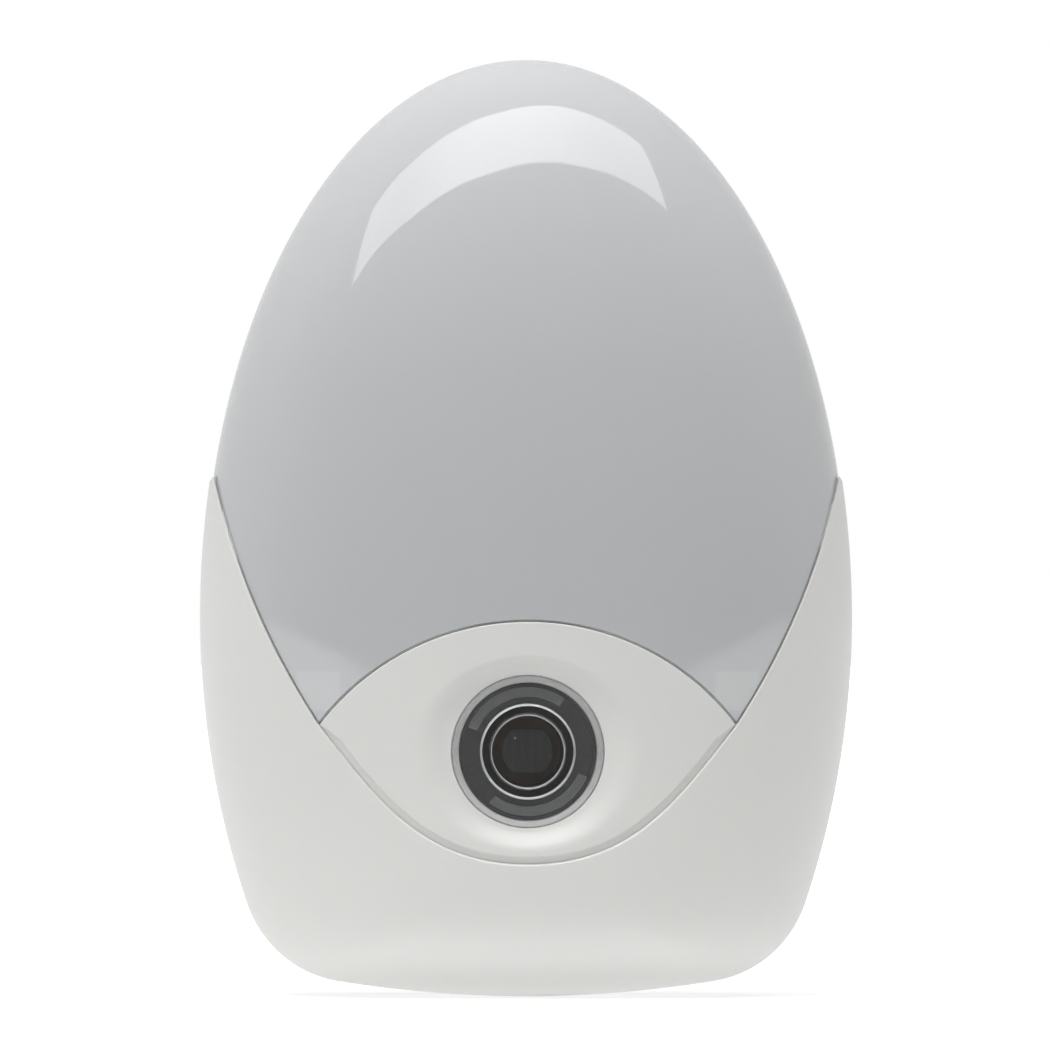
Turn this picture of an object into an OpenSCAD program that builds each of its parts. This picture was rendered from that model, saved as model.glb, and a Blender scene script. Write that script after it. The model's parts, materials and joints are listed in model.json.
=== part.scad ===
// Plug-in night light: an egg-shaped milky diffuser standing in a white cup, with a dusk sensor
// behind a round window and a two-pin plug moulded on the back.
//
// The body is drawn lying on its back: x across, y up its height, z from the back face forwards.
// stand_up() turns it upright, with the origin between the pins on the plug's front face and the
// pins along +Y.

/* [Body] */
// Width at the widest point
body_w = 65.2; // [56:0.1:80]
// Height
body_h = 93.9; // [80:0.1:113]
// Height of the widest point above the bottom edge
waist_h = 37.9; // [33:0.1:44]
// Depth of the domed front
dome_d = 23; // [19:0.5:28]
// Depth of the straight-sided rear tray
tray_d = 9; // [7.5:0.5:11]
// Wall of the domed front
wall = 1.8; // [1.5:0.1:2.2]
// Thickness of the back plate
floor_t = 2; // [1.6:0.1:2.4]
// Radius of the bottom edge's long arc
bottom_r = 118; // [98:1:142]
// Radius of the sides below the widest point
side_r = 90; // [75:1:108]
// Radius of the bottom corners
corner_r = 11.6; // [9.6:0.1:14]
// Squareness of the dome's profile, 2 for an ellipse
dome_power = 2.3; // [2:0.1:2.8]
// Squareness of the profile at the bottom edge
foot_power = 8; // [6:0.5:10]

/* [Parting lines] */
// Radius of the two arcs that part diffuser and cup
vee_r = 74; // [62:1:89]
// Lowest point of the cup's opening
vee_bottom = 13.4; // [11:0.1:16]
// Half width of the eye-shaped panel
eye_w = 20.8; // [17.4:0.1:25]
// Height of the eye's corners
eye_h = 27.3; // [24:0.1:31]
// Top of the eye-shaped panel
eye_top = 37.6; // [34:0.1:41]
// Height where the parting arcs leave the outline
wing_h = 52.8; // [48:0.1:60]
// Gap between cup and diffuser
vee_gap = 0.15; // [0.1:0.05:0.3]
// Gap between diffuser and panel
eye_gap = 0.25; // [0.15:0.05:0.4]
// How far the diffuser lies below the cup's surface
lens_step = 0.15; // [0.1:0.05:0.3]

/* [Sensor] */
// Height of the sensor above the bottom edge
sensor_h = 24.6; // [22:0.1:27]
// Radius of the clear window
window_r = 7.7; // [6.4:0.1:9.3]
// Thickness of the window's flange
window_t = 1.2; // [1:0.1:1.6]
// Width of the ledge that the window sits on
seat_w = 0.7; // [0.5:0.1:1]
// Radius of the window's raised ring
ring_r = 4.7; // [3.9:0.1:5.6]
// How far the dish reaches beyond the window on either side
dish_side = 4; // [3.3:0.1:4.8]
// How far the dish reaches beyond the window above and below
dish_rise = 2; // [1.6:0.1:2.4]
// Depth of the window's face below the dome's crest
dish_depth = 1.6; // [1.3:0.1:2]
// Width of the groove along the panel's lower edge
groove_w = 0.45; // [0.35:0.05:0.55]
// Depth of that groove
groove_d = 0.5; // [0.4:0.05:0.6]

/* [Plug] */
// Distance between the pins
pin_pitch = 19; // [18:0.1:20]
// Height of the pins above the bottom edge
pin_h = 34.5; // [31:0.5:38]
// Radius of the bare pin ends
pin_r = 2; // [1.8:0.1:2.4]
// Length of the pins outside the plug
pin_len = 19; // [16:0.5:22]
// Length of the insulating sleeves outside the plug
sleeve_len = 10; // [8:0.5:12]
// Depth of the plug's block behind the body
boss_d = 17; // [14:0.5:20]
// Width of the plug's block
boss_w = 35.3; // [33:0.1:42]
// Height of the plug's block
boss_t = 13.7; // [12.5:0.1:16.4]
// Size of its cut corners
boss_cut = 4.5; // [3.7:0.1:5.4]
// Wall of the plug's block
boss_wall = 2.2; // [1.8:0.1:2.6]

/* [Electronics] */
// Height of the board above the back plate
board_lift = 9.5; // [8.5:0.1:11.5]
// Thickness of the board
board_t = 1.6; // [1.3:0.1:2]
// Distance from the body's outline to the board's edge
board_inset = 5.5; // [5:0.1:6.6]
// Diameter of the light-emitting diodes
led_d = 5; // [4:0.1:6]

/* [Hidden] */

$fn = 48;
slices = 12;                        // steps of the dome's profile
eps = 0.02;                         // overlap of solids that are cut or joined
fit = 0.15;                         // play between a hole and what passes through it
play = 0.1;                         // closer play, between the window and its bore
touch = 0.05;                       // gap between faces that lie on each other

half_w = body_w/2;
crown_h = body_h - waist_h;         // from the widest point to the top
front_z = tray_d + dome_d;          // crest of the dome
ledge_w = 1.6;                      // how far the ledge reaches in under the panel
ledge_t = 1.2;
ledge_in = wall + lens_step + touch; // the ledge lies just under the panel and the diffuser
pad = [6.8, 3.4];                   // pads of the cup behind the diffuser's lower corners
lip_t = 0.8;
lip_h = 2;
lip_in = wall + lens_step + 0.35;   // from the outline to the tray's lip, clear of the dome's curve
tray_wall = lip_in + lip_t;
board_z = floor_t + board_lift;     // back face of the board
front_board_z = board_z + board_t;  // front face of the board
seat_t = 1.5;                       // thickness of the window's ledge
window_z = front_z - dish_depth;    // front face of the window's flange
seat_z = window_z - window_t;       // front face of the window's ledge
tube_top_z = seat_z - seat_t;
tube_r = window_r + 0.5;
tube_in = window_r - seat_w - 0.3;
face_t = 3;                         // thickness of the plug's front wall
shank_r = pin_r - 0.6;
sleeve_r = pin_r - 0.2;
post_x = half_w - 11.6;             // posts of the two housing screws
post_h = 12;
post_r = 3.5;
post_z = floor_t + 4;               // where the cup's posts meet the tray's
board_post_x = half_w - 11.6;       // posts of the two board screws
board_post_h = waist_h + 2.1;
reflector_lift = 1.5;
lead_r = 0.25;
led_lead_x = 1.27;                  // half the distance between a diode's leads
led_spots = [[-9, 24], [9, 24], [0, 36], [0, 12]]; // offsets from the widest point

// ---- outlines in the plane of the body ----

function arc(c, r, a0, a1, n) = [for (k = [0 : n]) let (a = a0 + (a1 - a0)*k/n) c + r*[cos(a), sin(a)]];
function flip(p) = [for (k = [len(p) - 1 : -1 : 0]) [-p[k].x, p[k].y]];

// Centres of the side arc and of the bottom arc, and the corner's centre, tangent to both
side_c = [half_w - side_r, waist_h];
foot_c = [0, bottom_r];
span = norm(foot_c - side_c);
along = (foot_c - side_c)/span;
reach = (pow(side_r - corner_r, 2) - pow(bottom_r - corner_r, 2) + span*span)/(2*span);
corner_c = side_c + reach*along + sqrt(pow(side_r - corner_r, 2) - reach*reach)*[along.y, -along.x];
side_a = atan2(corner_c.y - side_c.y, corner_c.x - side_c.x);
foot_a = atan2(corner_c.y - foot_c.y, corner_c.x - foot_c.x);

// Right half from the widest point down to the bottom, drawn in by t; m makes the steps finer
function lower_half(t, m = 1) = let (step = (foot_a - side_a)/(9*m))
    concat(arc(side_c, side_r - t, 0, side_a, 7*m),
        arc(corner_c, corner_r - t, side_a + step, foot_a - step, 9*m - 2),
        arc(foot_c, bottom_r - t, foot_a, -90, 4*m));

// Half ellipse over the top, then the lower half on each side
function outline(t, m = 1) = let (low = lower_half(t, m), n = len(low), steps = 48*m)
    concat([for (k = [0 : steps - 1]) let (a = 180*k/steps)
            [(half_w - t)*cos(a), waist_h + (crown_h - t)*sin(a)]],
        [for (p = low) [-p.x, p.y]], [for (k = [n - 2 : -1 : 1]) low[k]]);

// The parting arc bulges outwards from the eye's corner to the wing's tip
wing = [half_w*sqrt(1 - pow((wing_h - waist_h)/crown_h, 2)), wing_h];
eye = [eye_w, eye_h];
chord = norm(wing - eye);
bulge = (wing - eye)/chord;
vee_c = (wing + eye)/2 + sqrt(vee_r*vee_r - chord*chord/4)*[-bulge.y, bulge.x];
vee_a0 = atan2(eye.y - vee_c.y, eye.x - vee_c.x);
vee_a1 = atan2(wing.y - vee_c.y, wing.x - vee_c.x) + 3;

function bezier(p, t) = pow(1 - t, 3)*p[0] + 3*t*pow(1 - t, 2)*p[1] + 3*t*t*(1 - t)*p[2] + pow(t, 3)*p[3];

// Lower edge of the eye: level in the middle, rising at about 52 degrees in the corner
groove = [[0, vee_bottom], [0.5*eye_w, vee_bottom],
    [0.72*eye_w, vee_bottom + 0.46*(eye_h - vee_bottom)], eye];
function groove_half(n) = [for (k = [0 : n]) bezier(groove, k/n)];

// Upper edge of the eye: one arc through both corners and the top
eye_r = (eye_w*eye_w + pow(eye_top - eye_h, 2))/(2*(eye_top - eye_h));
eye_a = asin(eye_w/eye_r);
function eye_arc(n) = arc([0, eye_top - eye_r], eye_r, 90 - eye_a, 90 + eye_a, n);

// The cup's opening: groove, parting arcs, and up past the top
module opening(g = 0) {
    right = concat(groove_half(14), [for (p = arc(vee_c, vee_r, vee_a0, vee_a1, 14)) p]);
    above = [[half_w + 9, wing_h + 12], [half_w + 9, body_h + 9]];
    offset(delta = -g) polygon(concat(right, above, flip(concat(right, above))));
}

// The eye alone
module eye_shape(g = 0) {
    low = groove_half(14);
    offset(delta = -g) polygon(concat(flip(low), [for (k = [1 : 13]) low[k]], eye_arc(24)));
}

// The dish's outline round the window, grown by g
function dish_oval(g, n) = [for (k = [0 : n - 1]) let (a = 360*k/n)
    [(window_r + play + dish_side + g)*cos(a), sensor_h + (window_r + play + dish_rise + g)*sin(a)]];

// ---- the dome ----

// Slice of the dome at depth z, as a ring of points: drawn in by t, with the crown and the sides
// shrinking faster than the bottom edge
function slice(t, j) = let (a = 90*j/slices, s = pow(sin(a), 2/dome_power),
    up = max(pow(cos(a), 2/dome_power), 0.03), down = max(pow(cos(a), 2/foot_power), 0.03))
    [for (p = outline(t)) [p.x*up, waist_h + (p.y - waist_h)*(p.y > waist_h ? up : down),
        tray_d + (dome_d - t)*s]];

// Depth of the dome over a point of its front, drawn in by t. Above the widest point the share c that
// the slice has lost follows from the ellipse. Below it, c is halved in until the point, moved out
// again, lies on the outline. The bottom corners are left out, as nothing is set into them.
function in_outline(p, t) = norm(p - side_c) < side_r - t && norm(p - foot_c) < bottom_r - t;
function share(x, y, t, low = 0, high = 1, n = 18) = let (c = (low + high)/2,
    p = [x/pow(c, 1/dome_power), waist_h + (y - waist_h)/pow(c, 1/foot_power)])
    n == 0 ? c : in_outline(p, t) ? share(x, y, t, low, c, n - 1) : share(x, y, t, c, high, n - 1);
function dome_z(x, y, t) = let (c = y > waist_h
        ? pow(pow(x/(half_w - t), 2) + pow((y - waist_h)/(crown_h - t), 2), dome_power/2)
        : share(abs(x), y, t))
    tray_d + (dome_d - t)*pow(1 - c, 1/dome_power);

module frustum(low, high) {
    n = len(low);
    hull() polyhedron(points = concat(low, high),
        faces = [[for (k = [0 : n - 1]) k], [for (k = [0 : n - 1]) n + k]]);
}

// Solid dome, drawn in by t; root is how far it goes on straight behind the dome's foot
module dome(t = 0, root = 0) {
    for (j = [0 : slices - 1]) frustum(slice(t, j), slice(t, j + 1));
    if (root > 0) frustum([for (p = slice(t, 0)) p - [0, 0, root]], slice(t, 0));
}

// Skin of the dome between t and t + thickness, open at the back
module skin(t, thickness) {
    difference() {
        dome(t);
        dome(t + thickness, 1);
    }
}

module stand_up() {
    translate([0, -boss_d, -pin_h]) rotate([90, 0, 0]) children();
}

module pair(x, y) {
    for (side = [-1, 1]) translate([side*x, y, 0]) children();
}

// Prism along the depth, through everything
module through() {
    translate([0, 0, -1]) linear_extrude(front_z + 2) children();
}

// ---- housings and covers ----

// Where the cup reaches in under its neighbours: below the eye's lower edge, and two pads behind
// the diffuser's lower corners
module ledge_zone() {
    difference() {
        eye_shape(-1);
        eye_shape(ledge_w);
        translate([-half_w, eye_h - 0.6]) square([body_w, body_h]);
        intersection() {
            polygon(dish_oval(shoulder + fit, 48));
            eye_shape(fit);
        }
    }
    pair(eye_w + 0.4, eye_h + 3) square(pad, center = true);
}

// White cup: the dome's skin outside the opening, screw posts, and a ledge that panel and diffuser
// rest on
module front_housing() {
    color("white") stand_up() difference() {
        union() {
            difference() {
                skin(0, wall);
                through() opening();
            }
            intersection() {
                dome(wall/2);
                pair(post_x, post_h) translate([0, 0, post_z]) cylinder(r = post_r, h = front_z - post_z);
            }
            intersection() {
                skin(ledge_in, ledge_t);
                through() intersection() {
                    ledge_zone();
                    opening(-0.4);
                }
            }
            intersection() {
                skin(wall/2, wall/2 + ledge_t);
                through() difference() {
                    ledge_zone();
                    opening(-0.2);
                }
            }
        }
        pair(post_x, post_h) translate([0, 0, post_z - 1]) cylinder(r = 1.5, h = 13);
    }
}

// Milky cover of the lamp, down to the eye
module diffuser() {
    color("lightgray") stand_up() intersection() {
        skin(lens_step, wall);
        through() difference() {
            opening(vee_gap);
            offset(delta = eye_gap) eye_shape();
            translate([-half_w, 0]) square([body_w, eye_h - 1]);
        }
    }
}

// The dish, a solid that reaches out of the dome: rings from the rim, where it leaves the panel's
// surface level with it, down to the window's face, with a soft S for its slope
shoulder = 0.9;                     // how much wider the dish is on its underside
dish_steps = 8;
dish_n = 48;

function dish_ring(j, grow, deep) = let (f = 1 - j/dish_steps, rise = (1 - cos(180*f))/2,
    w = window_r + play, rim = dish_oval(0, dish_n))
    [for (k = [0 : dish_n - 1]) let (a = 360*k/dish_n)
        [(w + dish_side*f + grow)*cos(a), sensor_h + (w + dish_rise*f + grow)*sin(a),
            window_z + (dome_z(rim[k].x, rim[k].y, lens_step) + eps - window_z)*rise - deep]];

module dish(grow, deep) {
    top = [for (p = dish_ring(0, grow, deep)) [p.x, p.y, front_z + 2]];
    rings = concat([top], [for (j = [0 : dish_steps]) dish_ring(j, grow, deep)]);
    polyhedron(points = [for (r = rings) each r], faces = concat(
        [[for (k = [dish_n - 1 : -1 : 0]) k], [for (k = [0 : dish_n - 1]) (dish_steps + 1)*dish_n + k]],
        [for (j = [0 : dish_steps], k = [0 : dish_n - 1])
            let (a = j*dish_n, b = a + dish_n, m = (k + 1)%dish_n)
            each [[a + k, a + m, b + m], [a + k, b + m, b + k]]]));
}

// Strip along the panel's lower edge, where its rim is set back
module groove_strip() {
    difference() {
        eye_shape(-1);
        eye_shape(fit + groove_w);
        translate([-half_w, eye_h - 0.4]) square([body_w, body_h]);
    }
}

// Eye-shaped panel with the groove, the dish, the window's ledge and its bore
module sensor_panel() {
    color("white") stand_up() difference() {
        union() {
            intersection() {
                skin(lens_step, wall);
                through() eye_shape(fit);
            }
            intersection() {
                dish(shoulder, wall);
                dome(lens_step + wall/2);
                through() eye_shape(fit + ledge_w + 0.2);
            }
            translate([0, sensor_h, tube_top_z]) cylinder(r = window_r + 1.4, h = seat_t + window_t);
        }
        difference() {
            through() groove_strip();
            dome(lens_step + groove_d);
        }
        dish(0, 0);
        translate([0, sensor_h, seat_z]) cylinder(r = window_r + play, h = 9);
        translate([0, sensor_h, tube_top_z - 1]) cylinder(r = window_r - seat_w, h = 9);
    }
}

// Clear window: flange, raised ring with a shallow recess, and two curved snap arms
arm_out = window_r - seat_w - 0.4 - fit;
arm_t = 0.7;
arm_h = 3.4;
ring_h = 0.45;

module arm(a0, a1) {
    rotate([0, 0, a0]) rotate_extrude(angle = a1 - a0)
        translate([arm_out - arm_t, -arm_h]) square([arm_t, arm_h + eps]);
}

module sensor_window() {
    color("gray") stand_up() translate([0, sensor_h, seat_z]) union() {
        rotate_extrude() polygon([[0, 0], [window_r, 0], [window_r, window_t - 0.25],
            [window_r - 0.25, window_t], [ring_r, window_t], [ring_r - 0.1, window_t + ring_h],
            [ring_r - 0.9, window_t + ring_h], [ring_r - 1.05, window_t], [0, window_t]]);
        arm(60, 145);
        arm(235, 325);
    }
}

// Black tube that keeps the lamp's own light off the sensor
module sensor_tube() {
    color("dimgray") stand_up() translate([0, sensor_h, front_board_z]) difference() {
        cylinder(r = tube_r, h = tube_top_z - front_board_z - 0.1);
        translate([0, 0, 1]) cylinder(r = tube_in, h = 30);
        translate([0, 0, -1]) cylinder(r = 3.4, h = 3);
    }
}

// Light-dependent resistor on two long leads
cell_z = 7;                         // height of the cell above the board
module photocell() {
    color("tan") stand_up() translate([0, sensor_h, front_board_z]) union() {
        translate([0, 0, cell_z]) intersection() {
            cylinder(r = 2.55, h = 2);
            translate([-3, -2.15, 0]) cube([6, 4.3, 2]);
        }
        pair(1.3, 0) cylinder(r = lead_r, h = cell_z + eps);
    }
}

// ---- rear tray with the plug ----

// Section of the plug's block, an oblong with cut corners, drawn in by t
module boss_shape(t = 0) {
    w = boss_w/2 - t;
    h = boss_t/2 - t;
    c = boss_cut - (2 - sqrt(2))*t;
    polygon([[w, c - h], [w, h - c], [w - c, h], [c - w, h], [-w, h - c], [-w, c - h], [c - w, -h],
        [w - c, -h]]);
}

module rear_housing() {
    color("white") stand_up() difference() {
        union() {
            difference() {
                union() {
                    linear_extrude(tray_d) polygon(outline(0, 2));
                    linear_extrude(tray_d + lip_h) polygon(outline(lip_in, 2));
                }
                translate([0, 0, floor_t]) linear_extrude(tray_d + lip_h) polygon(outline(tray_wall, 2));
            }
            translate([0, pin_h, -boss_d]) linear_extrude(boss_d + floor_t) boss_shape();
            pair(post_x, post_h) cylinder(r = post_r + 0.6, h = post_z - 0.1);
            pair(board_post_x, board_post_h) cylinder(r = 2.8, h = board_z);
            translate([0, sensor_h - 6, 0]) cylinder(r = 2.4, h = board_z);
            translate([0, pin_h, -boss_d]) cylinder(r = 2.6, h = face_t + 1.7);
        }
        translate([0, pin_h, -boss_d + face_t]) difference() {
            linear_extrude(boss_d + floor_t) boss_shape(boss_wall);
            translate([0, 0, -1]) cylinder(r = 2.6, h = 2.7);
        }
        translate([0, pin_h, -boss_d + 1.2]) cylinder(r = 1.05, h = 10);
        pair(pin_pitch/2, pin_h) translate([0, 0, -boss_d - 1])
            cylinder(r = sleeve_r + play, h = face_t + 2);
        pair(post_x, post_h) translate([0, 0, -1]) cylinder(r = 3.1, h = 3.4);
        pair(post_x, post_h) translate([0, 0, -1]) cylinder(r = 1.6, h = 20);
        pair(board_post_x, board_post_h) translate([0, 0, board_z - 6.5]) cylinder(r = 1.15, h = 10);
    }
}

// Pin along z, z = 0 at the plug's face
module pin(side) {
    color("silver") stand_up() translate([side*pin_pitch/2, pin_h, -boss_d]) rotate([180, 0, 0])
        rotate_extrude() polygon(concat([[0, -face_t - 5], [0.9, -face_t - 5], [0.9, -face_t - 1.7],
            [2.75, -face_t - 1.7], [2.75, -face_t - 0.1], [shank_r, -face_t - 0.1], [shank_r, sleeve_len],
            [pin_r, sleeve_len]],
            [for (k = [0 : 8]) [pin_r - 1 + cos(90*k/8), pin_len - 1 + sin(90*k/8)]], [[0, pin_len]]));
}

module left_pin() {
    pin(-1);
}

module right_pin() {
    pin(1);
}

module pin_sleeves() {
    color("dimgray") stand_up() pair(pin_pitch/2, pin_h)
        translate([0, 0, -boss_d - sleeve_len + touch]) difference() {
            cylinder(r = sleeve_r, h = sleeve_len + face_t - touch);
            translate([0, 0, -1]) cylinder(r = shank_r + touch, h = sleeve_len + face_t + 2);
        }
}

// Plate that holds the pins' heads down, with its screw
clamp_z = -boss_d + face_t + 1.8;
clamp_t = 1.8;

module pin_clamp() {
    color("ivory") stand_up() translate([0, pin_h, clamp_z]) difference() {
        linear_extrude(clamp_t) boss_shape(boss_wall + 0.3);
        translate([0, 0, -1]) cylinder(r = 1.3, h = 5);
        pair(pin_pitch/2, 0) translate([0, 0, -1]) cylinder(r = 1.1, h = 5);
    }
}

module screw(r, len, head_r, head_h) {
    union() {
        translate([0, 0, -len]) cylinder(r = r, h = len + eps);
        difference() {
            cylinder(r = head_r, h = head_h);
            translate([0, 0, head_h/2]) union() {
                translate([-head_r*0.6, -head_r*0.13, 0]) cube([head_r*1.2, head_r*0.26, head_h]);
                translate([-head_r*0.13, -head_r*0.6, 0]) cube([head_r*0.26, head_r*1.2, head_h]);
            }
        }
    }
}

module clamp_screw() {
    color("silver") stand_up() translate([0, pin_h, clamp_z + clamp_t]) screw(1, 4.6, 2, 1.2);
}

// Brass tag on each pin's tail, with a tongue that takes the wire
tag_z = clamp_z + clamp_t + touch;
tag_t = 0.5;
tongue_h = 5;

module contact_tags() {
    color("gold") stand_up() pair(pin_pitch/2, pin_h) translate([0, 0, tag_z]) union() {
        difference() {
            union() {
                cylinder(r = 2.3, h = tag_t);
                translate([-1.4, 0, 0]) cube([2.8, 3, tag_t]);
            }
            translate([0, 0, -1]) cylinder(r = 0.95, h = 3);
        }
        translate([-1.4, 3 - tag_t, 0]) cube([2.8, tag_t, tongue_h]);
    }
}

// Wires from the tags to the board: forward beside the tongue, up the board, and on to its back
wire_r = 0.8;
bend = 2.5;
wire_rise = 3;                      // straight part between the two bends

module elbow() {
    rotate_extrude(angle = 90) translate([bend, 0]) circle(r = wire_r);
}

module lead_wires() {
    start = tag_z + tag_t + 0.8;
    top = board_z - 2*bend - 0.6;   // where the first bend starts
    color("firebrick") stand_up() pair(pin_pitch/2, pin_h + 3 - tag_t - wire_r - 0.02) union() {
        translate([0, 0, start]) cylinder(r = wire_r, h = top - start);
        translate([0, bend, top]) rotate([90, 0, -90]) elbow();
        translate([0, bend, top + bend]) rotate([-90, 0, 0]) cylinder(r = wire_r, h = wire_rise);
        translate([0, bend + wire_rise, top + 2*bend]) rotate([0, 90, 0]) elbow();
        translate([0, 2*bend + wire_rise, top + 2*bend]) cylinder(r = wire_r, h = 0.55);
    }
}

// ---- board and what it carries ----

// Board outline: the body's outline drawn in, between a straight foot and a straight top
board_low = post_h + post_r + 1.3;
board_high = waist_h + 0.68*crown_h;

module board_shape() {
    intersection() {
        polygon(outline(board_inset));
        translate([-half_w, board_low]) square([body_w, board_high - board_low]);
    }
}

module circuit_board() {
    color("darkgreen") stand_up() translate([0, 0, board_z + touch]) difference() {
        linear_extrude(board_t - touch) board_shape();
        pair(board_post_x, board_post_h) translate([0, 0, -1]) cylinder(r = 1.3, h = 5);
        for (p = led_spots) translate([p.x, waist_h + p.y, -1])
            pair(led_lead_x, 0) cylinder(r = lead_r + play, h = 5);
    }
}

module board_screws() {
    color("silver") stand_up() pair(board_post_x, board_post_h) translate([0, 0, front_board_z + touch])
        screw(1.1, 6.5, 2.1, 1.3);
}

// White tray round the diodes. Its outline is the inside of the diffuser at the height of the tray's
// rim, drawn in by the gap between them
reflector_h = 6;
reflector_gap = 1;
reflector_t = 1;
reflector_z = front_board_z + reflector_lift;
reflector_low = board_post_h + 3.6;
rim_in = lens_step + wall;
rim_share = pow(1 - pow((reflector_z + reflector_h - tray_d)/(dome_d - rim_in), dome_power), 1/dome_power);

module reflector_shape(t = 0) {
    intersection() {
        polygon([for (p = outline(rim_in + reflector_gap + t))
            [p.x*rim_share, waist_h + (p.y - waist_h)*rim_share]]);
        translate([-half_w, reflector_low + t]) square([body_w, body_h]);
    }
}

module reflector() {
    color("white") stand_up() union() {
        translate([0, 0, reflector_z]) difference() {
            linear_extrude(reflector_h) reflector_shape();
            translate([0, 0, reflector_t]) linear_extrude(reflector_h) reflector_shape(reflector_t);
            for (p = led_spots) translate([p.x, waist_h + p.y, -1]) cylinder(r = led_d/2 + 0.6, h = 5);
        }
        translate([0, 0, front_board_z + touch]) union() {
            pair(14, waist_h + 12) cylinder(r = 1.5, h = reflector_lift);
            translate([0, waist_h + 28, 0]) cylinder(r = 1.5, h = reflector_lift);
        }
    }
}

// Five-millimetre diode: flange, body and domed end as one turned solid, and two leads
module led() {
    r = led_d/2;
    rotate_extrude() polygon(concat([[0, 0], [r + 0.4, 0], [r + 0.4, 1], [r, 1], [r, 8.6 - r]],
        [for (k = [1 : 8]) [r*cos(90*k/8), 8.6 - r + r*sin(90*k/8)]]));
    pair(led_lead_x, 0) translate([0, 0, -board_t - 0.25]) cylinder(r = lead_r, h = board_t + 0.25 + eps);
}

module leds() {
    color("lightyellow") stand_up() for (p = led_spots)
        translate([p.x, waist_h + p.y, front_board_z + 0.1]) led();
}

// Everything below hangs from the board's back face, z downwards
module under_board(x, y) {
    stand_up() translate([x, y, board_z - 0.1]) rotate([180, 0, 0]) children();
}

film = [18, 12, 7.6];               // box of the film capacitor

module dropper_capacitor() {
    color("goldenrod") under_board(0, waist_h + 22) union() {
        translate([-film.x/2, -film.y/2, 0.4]) cube(film);
        pair(film.x/2 - 1.5, 0) cylinder(r = 0.35, h = 1);
    }
}

// Aluminium can with the groove near its sealed end
can_r = 4;
can_h = 12;

module smoothing_capacitor() {
    color("midnightblue") under_board(-half_w + 16, waist_h + 18) translate([0, -can_h/2, can_r + 0.2])
        rotate([-90, 0, 0]) rotate_extrude() polygon([[0, 0], [can_r - 0.4, 0], [can_r, 0.4], [can_r, 1.4],
            [can_r - 0.25, 1.8], [can_r, 2.2], [can_r, can_h - 0.4], [can_r - 0.4, can_h], [0, can_h]]);
}

bridge = [8.5, 6.5, 3.3];           // box of the bridge rectifier

module bridge_rectifier() {
    color("dimgray") under_board(0, waist_h + 11) union() {
        translate([-bridge.x/2, -bridge.y/2, 0.5]) cube(bridge);
        for (side = [-1, 1]) pair(2.5, side*2.4) translate([-0.25, -0.15, 0]) cube([0.5, 0.3, 1]);
    }
}

// Axial part lying along x: body between two leads that bend down to the board at z = 0
module axial(body_len, body_r, pitch, lift, neck = 0) {
    union() {
        translate([-body_len/2, 0, lift]) rotate([0, 90, 0]) rotate_extrude()
            polygon([[0, 0], [body_r - 0.3, 0], [body_r, 0.3], [body_r, body_len*0.25],
                [body_r - neck, body_len*0.32], [body_r - neck, body_len*0.68], [body_r, body_len*0.75],
                [body_r, body_len - 0.3], [body_r - 0.3, body_len], [0, body_len]]);
        translate([-pitch/2, 0, lift]) rotate([0, 90, 0]) cylinder(r = 0.3, h = pitch);
        pair(pitch/2, 0) union() {
            cylinder(r = 0.3, h = lift);
            translate([0, 0, lift]) sphere(r = 0.3);
        }
    }
}

module fusible_resistor() {
    color("seagreen") under_board(half_w - 16, waist_h + 18) rotate([0, 0, 90]) axial(11, 2.2, 15, 2.6);
}

module zener_diode() {
    color("orangered") under_board(0, waist_h + 34) axial(4.2, 1.3, 9, 1.6);
}

module resistors() {
    color("tan") stand_up() for (k = [0 : 2])
        translate([-tube_r - 7.5, sensor_h - 4 + 4*k, front_board_z + 0.1]) axial(6.3, 1.2, 10, 1.5, 0.2);
}

module transistor() {
    color("dimgray") stand_up() translate([tube_r + 6, sensor_h + 3, front_board_z + 0.1]) union() {
        translate([0, 0, 3]) difference() {
            cylinder(r = 2.3, h = 4.6);
            translate([-3, -4.4, -1]) cube([6, 3, 7]);
        }
        for (x = [-1.27, 0, 1.27]) translate([x - 0.2, -0.2, 0]) cube([0.4, 0.4, 3 + eps]);
    }
}

module housing_screws() {
    color("silver") stand_up() pair(post_x, post_h) translate([0, 0, 2.35]) rotate([180, 0, 0])
        screw(1.45, 14, 2.8, 1.8);
}

front_housing();
diffuser();
sensor_panel();
sensor_window();
sensor_tube();
photocell();
rear_housing();
left_pin();
right_pin();
pin_sleeves();
pin_clamp();
clamp_screw();
contact_tags();
lead_wires();
circuit_board();
board_screws();
reflector();
leds();
dropper_capacitor();
smoothing_capacitor();
bridge_rectifier();
fusible_resistor();
zener_diode();
resistors();
transistor();
housing_screws();
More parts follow.
